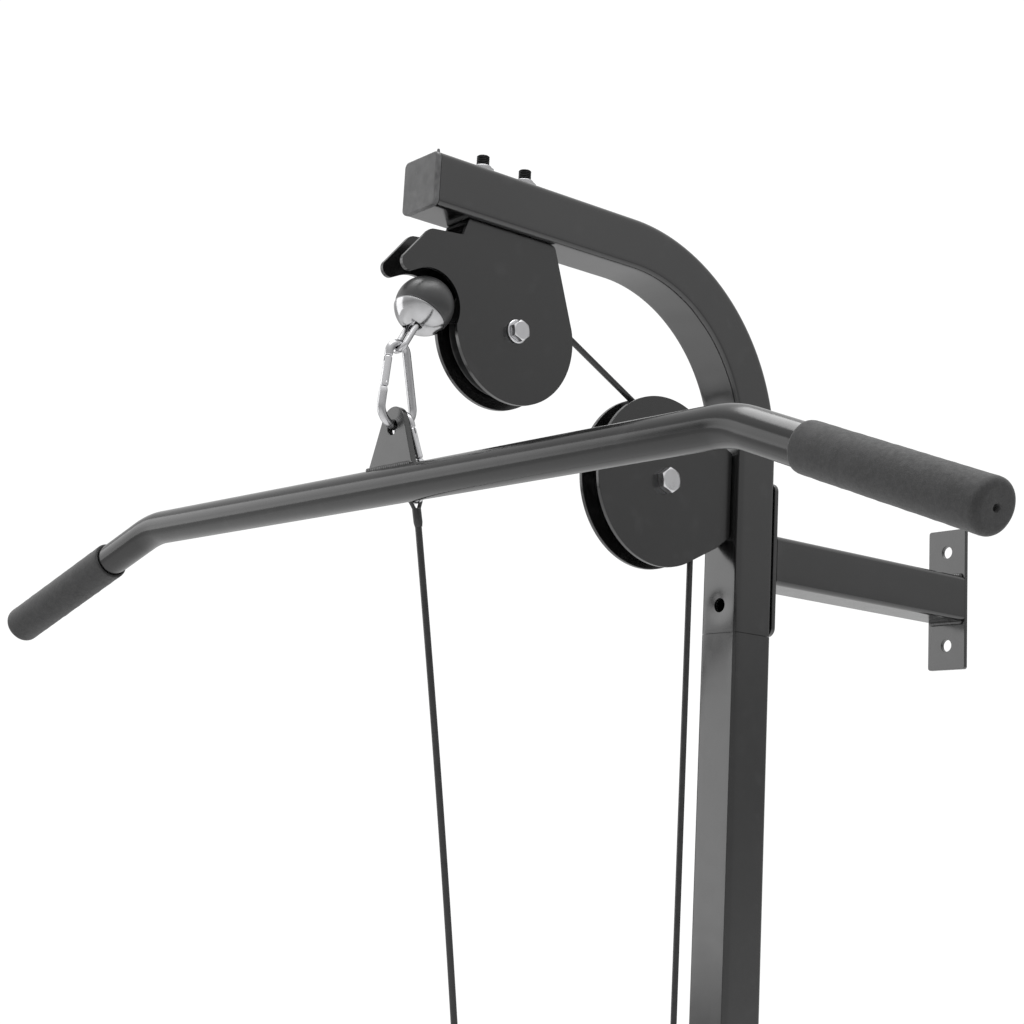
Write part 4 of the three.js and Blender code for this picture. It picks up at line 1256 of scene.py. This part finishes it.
def add_snap_hook(name, matrix, node):
    lean = degrees(hook_lean())
    nose, heel = hook_leg(GATE_TO + 0.5), hook_leg(GATE_FROM - 0.5)
    small = in_yz(arc((0, 0), HOOK_TOP_R, 180 - lean, lean, 26))
    large = in_yz(arc((0, -HOOK_SPAN), HOOK_LOW_R, lean, -180 - lean, 40))
    start = straight(nose, small[0], 6)[:-1]
    back = straight(small[-1], large[0], 8)[1:-1]
    end = straight(large[-1], heel, 6)[1:]
    wire = moved(hook_wire(start + small + back + large + end, 0.16), matrix)
    piece(name + "_wire", wire, satin_look, "lat_trolley", node, angle=40)
    gate_start = hook_leg(GATE_FROM)
    way = (hook_leg(GATE_TO) - gate_start).normalized()
    length = GATE_TO - GATE_FROM
    r = HOOK_WIRE_R - 0.1
    profile = [(0, 0), (r - 1.4, 0.1), (r - 0.4, 0.8), (r, 2), (r, length - 1.4),
               (r - 0.5, length - 0.3), (r - 1, length), (0, length)]
    gate = turned(profile, 32, gate_start, way)
    pins = []
    for distance, reach in ((3.2, r + 0.5), (length - 3, r - 0.1)):
        end = reach - 0.3
        rivet = [(0, -reach), (1.0, -reach), (1.3, -end), (1.3, end), (1.0, reach), (0, reach)]
        pins.append(turned(rivet, 20, gate_start + way * distance, X))
    body = add_object(name + "_gate_tube", moved(joined(gate, *pins), matrix))
    groove = prism([(-0.55, 0), (0.55, 0), (0.55, 5.5), (-0.55, 5.5)], on_y, -6, 6)
    turn = Matrix((X, -way.cross(X), way)).transposed().to_4x4()
    seat = Matrix.Translation(gate_start + way * (length - 5.4)) @ turn
    cut(body, moved(groove, matrix @ seat))
    finish(body, satin_look, node + "_gate_arm", node + "_gate")


def add_hooks():
    add_snap_hook("lat_snap_hook", tilted(HOOK_TOP, HOOK_TILT), "lat_hook")
    drop = Matrix.Translation((0, 0, -HOOK_TOP_R)) @ Matrix.Rotation(pi / 2, 4, "Z")
    add_snap_hook("link_snap_hook", tilted(LINK_TOP, LINK_TILT) @ drop, "link_hook")


add_ball()
add_ball_eye()
add_hooks()


# ---- lat bar ----
BAR_LIFT = BAR_Z - TAB_HOLE_Z
BAR_SWING = Matrix.Rotation(radians(BAR_TURN), 4, "Z")
BAR_PLACE = Matrix.Translation((0, BAR_Y, TAB_HOLE_Z)) @ BAR_SWING


def bar_path():
    drop = radians(BAR_DROP)
    tangent = BAR_BEND_R * tan(drop / 2)
    on = BAR_HALF - tangent
    tip = (BAR_HALF + BAR_END * cos(drop), -BAR_END * sin(drop))
    right = arc((on, -BAR_BEND_R), BAR_BEND_R, 90, 90 - BAR_DROP, 18)
    middle = [(on * i / 24, 0) for i in range(24)]
    u, v = right[-1]
    leg = [(u + (tip[0] - u) * i / 10, v + (tip[1] - v) * i / 10) for i in range(1, 11)]
    half = middle + right + leg
    flat = [(-u, v) for u, v in reversed(half[1:])] + half
    lean = radians(BAR_LEAN)
    return [Vector((u, -v * sin(lean), BAR_LIFT + v * cos(lean))) for u, v in flat]


def add_bar():
    tube = swept(circle(BAR_R, 56), bar_path(), Y, inner=circle(BAR_R - BAR_WALL, 56))
    piece("lat_bar_tube", moved(tube, BAR_PLACE), bar_look, "bar", "lat_bar", angle=40)


def add_tab():
    base = BAR_LIFT + BAR_R - 2
    half = TAB_BASE_HALF
    lean = degrees(0.38)
    crown = arc((0, TAB_TOP_R * 0.21), TAB_TOP_R, lean, 180 - lean, 36)
    outline = [(-half, base - 2), (half, base - 2), (half, base)] + crown + [(-half, base)]
    middle = TAB_Y - BAR_Y
    shape = prism(outline, on_y, middle - TAB_T / 2, middle + TAB_T / 2)
    tab = add_object("lat_bar_tab", shape)
    cut(tab, rod(TAB_HOLE_R, -20, 20, 48, (0, 0, 0), Y))
    merge_flats(tab)
    round_edges(tab, 0.8, 3)
    tab.data.transform(metres(BAR_PLACE))
    finish(tab, bracket_look, "bar")
    beads = []
    for side in (-1, 1):
        y = middle + side * (TAB_T / 2 + 0.6)
        z = BAR_LIFT + sqrt(BAR_R ** 2 - y ** 2) + 0.2
        line = straight((-half - 1, y, z), (half + 1, y, z), 2)
        beads.append(moved(bead(line, 2.4, across=Y), BAR_PLACE))
    add_beads("lat_bar_tab_welds", bracket_look, "bar", *beads)


def grip_profile():
    """From the mouth on the bar, over a slightly wavy skin, to the dimpled end."""
    length = GRIP_LEN + 6
    bore = BAR_R + 0.2
    edge = 5.5
    r = GRIP_R
    mouth = [(bore, 4), (bore, 0.4), (BAR_R + 0.7, 0), (r - 0.9, 0), (r - 0.2, 0.5), (r, 1.6)]
    body = []
    for i in range(1, 41):
        wave = 0.12 * sin(i * 1.7) * sin(i * 0.43)
        body.append((r + wave, 1.6 + (length - 8.6) * i / 40))
    shoulder = arc((r - edge, length - edge), edge, 0, 90, 10)
    end = [(9, length), (5, length - 0.1), (3.2, length - 0.5), (2.6, length - 1.8),
           (2.3, length - 5), (0, length - 5), (0, length - 7), (bore, length - 7)]
    return mouth + body + shoulder + end


def grip_shape(side):
    swing = BAR_DROP if side > 0 else 180 - BAR_DROP
    upright = Matrix.Rotation(radians(90), 4, "Y")
    turn = Matrix.Rotation(radians(swing), 4, "Y")
    lean = Matrix.Rotation(radians(BAR_LEAN), 4, "X")
    lift = Matrix.Translation((0, 0, BAR_LIFT))
    bend = Matrix.Translation((side * BAR_HALF, 0, 0))
    reach = Matrix.Translation((BAR_END - GRIP_LEN, 0, 0))
    seat = BAR_PLACE @ lift @ lean @ bend @ turn @ reach @ upright
    return moved(turned(grip_profile(), 72, closed=True), seat)


def add_grip(name, side):
    grip = add_object(name + "_sleeve", grip_shape(side))
    for vertex in grip.data.vertices:
        p = vertex.co / MM
        vertex.co += Vector(noise.noise_vector(p * 0.09)) * 0.16 * MM
    finish(grip, foam_look, "bar", name, angle=50)


add_bar()
add_tab()
add_grip("lat_grip_left", -1)
add_grip("lat_grip_right", 1)


# ---- carriage ----
def add_peg(name, side):
    root = 65 / 2 + GAP
    disc = [(14, 70), (48.5, 70), (50, 71.2), (50, 74.8), (48.5, 76), (14, 76)]
    foot = [(0, root), (23.4, root), (24, root + 0.6), (24, root + 7), (23, root + 8),
            (15.4, root + 8), (14, root + 9.4)]
    end = [(14, 298), (15.2, 299), (15.5, 299.8), (15.5, 303), (14.5, 305.4), (12, 306), (0, 306)]
    peg = turned(foot + disc + end, 72, (0, 0, PEG_Z), X * side)
    piece(name + "_turned", peg, zinc_look, "carriage", name, angle=32)


def add_terminal():
    at = (0, WEIGHT_CABLE_Y, 0)
    socket = [(5, LUG_TOP + GAP), (7.4, LUG_TOP + GAP), (8, LUG_TOP + 1), (8, LUG_TOP + 7.4),
              (6.2, LUG_TOP + 12)]
    rings = []
    for i in range(6):
        base = LUG_TOP + 16 + i * 5.4
        rings += [(6, base), (5.6, base + 0.8), (5.6, base + 1.8), (6, base + 2.6)]
    neck = [(6, LUG_TOP + 51), (5.4, LUG_TOP + 53.5), (3.4, LUG_TOP + 56), (0, LUG_TOP + 56)]
    stud = threaded(5, LUG_TOP + GAP, 296, at, Z, 1.5)
    body = turned([(0, LUG_TOP + GAP)] + socket + rings + neck, 56, at, Z)
    piece("cable_terminal_socket", joined(body, stud),
          zinc_look, "carriage", "cable_terminal", angle=28)
    top = LUG_TOP - 8 - GAP
    nut = hex_head(17, top - 8.5, top, at, Z, 12, chamfer_both=True)
    piece("cable_terminal_lock_nut", nut, zinc_look, "carriage", "cable_terminal_nut", angle=28)


def add_carriage():
    refined("carriage_sleeve", frame_look, "carriage", 0.7, 3)
    refined("carriage_glide_upper", plastic_look, "carriage", 0.6, 2)
    refined("carriage_glide_lower", plastic_look, "carriage", 0.6, 2)
    add_peg("weight_peg_left", -1)
    add_peg("weight_peg_right", 1)
    add_terminal()
    beads = []
    for x in (-18, 18):
        beads.append(bead(straight((x, -33.6, LUG_TOP - 8), (x, -33.6, LUG_TOP), 2), 1.8))
    across = straight((-17, -33.2, LUG_TOP - 9), (17, -33.2, LUG_TOP - 9), 2)
    beads.append(bead(across, 2, across=Y))
    add_beads("cable_lug_welds", frame_look, "carriage", *beads)
    refined("column_bumper", rubber_look, "frame", 1.6, 4)


# ---- base ----
def foot_cap(x, y, side):
    """A pressed-in plug with a low crown that closes a foot tube."""
    sections = [(-14, 43.2, 2.5), (0.1, 43.4, 2.5), (0.1, 49.6, 5), (0.8, 50, 5.5),
                (2.4, 49.6, 5.5), (3.4, 47.5, 5), (3.9, 43, 4)]
    return square_plug(sections, lambda depth, a, b: Vector((x + side * depth, y + a, HALF + b)))


def add_feet():
    for node in ("front_foot", "rear_foot"):
        low, high = box_mm(node)
        y = (low.y + high.y) / 2
        refined(node, frame_look, "frame", 0.8, 2)
        caps = joined(foot_cap(high.x, y, 1), foot_cap(low.x, y, -1))
        piece(node + "_end_caps", caps, plastic_look, "frame")


def add_base():
    refined("base_beam", frame_look, "frame", 0.8, 2)
    add_feet()
    beads = []
    front = box_mm("base_beam")[0].y
    for y in (front + 0.4, WALL_FACE - WALL_PLATE_T - 0.4):
        outline = [(HALF, 8)] + arc((HALF - CORNER, TUBE - CORNER), CORNER, 0, 90, 5)
        outline += arc((CORNER - HALF, TUBE - CORNER), CORNER, 90, 180, 5) + [(-HALF, 8)]
        beads.append(bead([Vector((a, y, b)) for a, b in outline], 2.3, across=Y))
    add_beads("base_welds", frame_look, "frame", *beads)


add_carriage()
add_base()


# ---- low row end ----
def add_row_end():
    place_ball = tilted((0, ROW_BALL_Y, ROW_Z), -90)
    r = ROW_BALL_R - 0.1
    profile = [(0, -r + 6), (11, -r + 6), (11.4, -16)]
    profile += arc((0, 0), r, -52, 76, 32)
    profile += [(4.2, 19.4), (3.3, 19.4), (3.2, 18), (0, 18)]
    piece("row_ball", moved(turned(profile, 80), place_ball),
          rubber_look, "row_trolley", "row_stop_ball", angle=45)
    loop = swept(circle(EYE_WIRE_R, 24), eye_path(ROW_BALL_R + 20, -ROW_BALL_R * 0.4 - 0.5), Y)
    piece("row_eye_loop", moved(loop, place_ball), satin_look, "row_trolley", "row_eye", angle=40)


add_row_end()
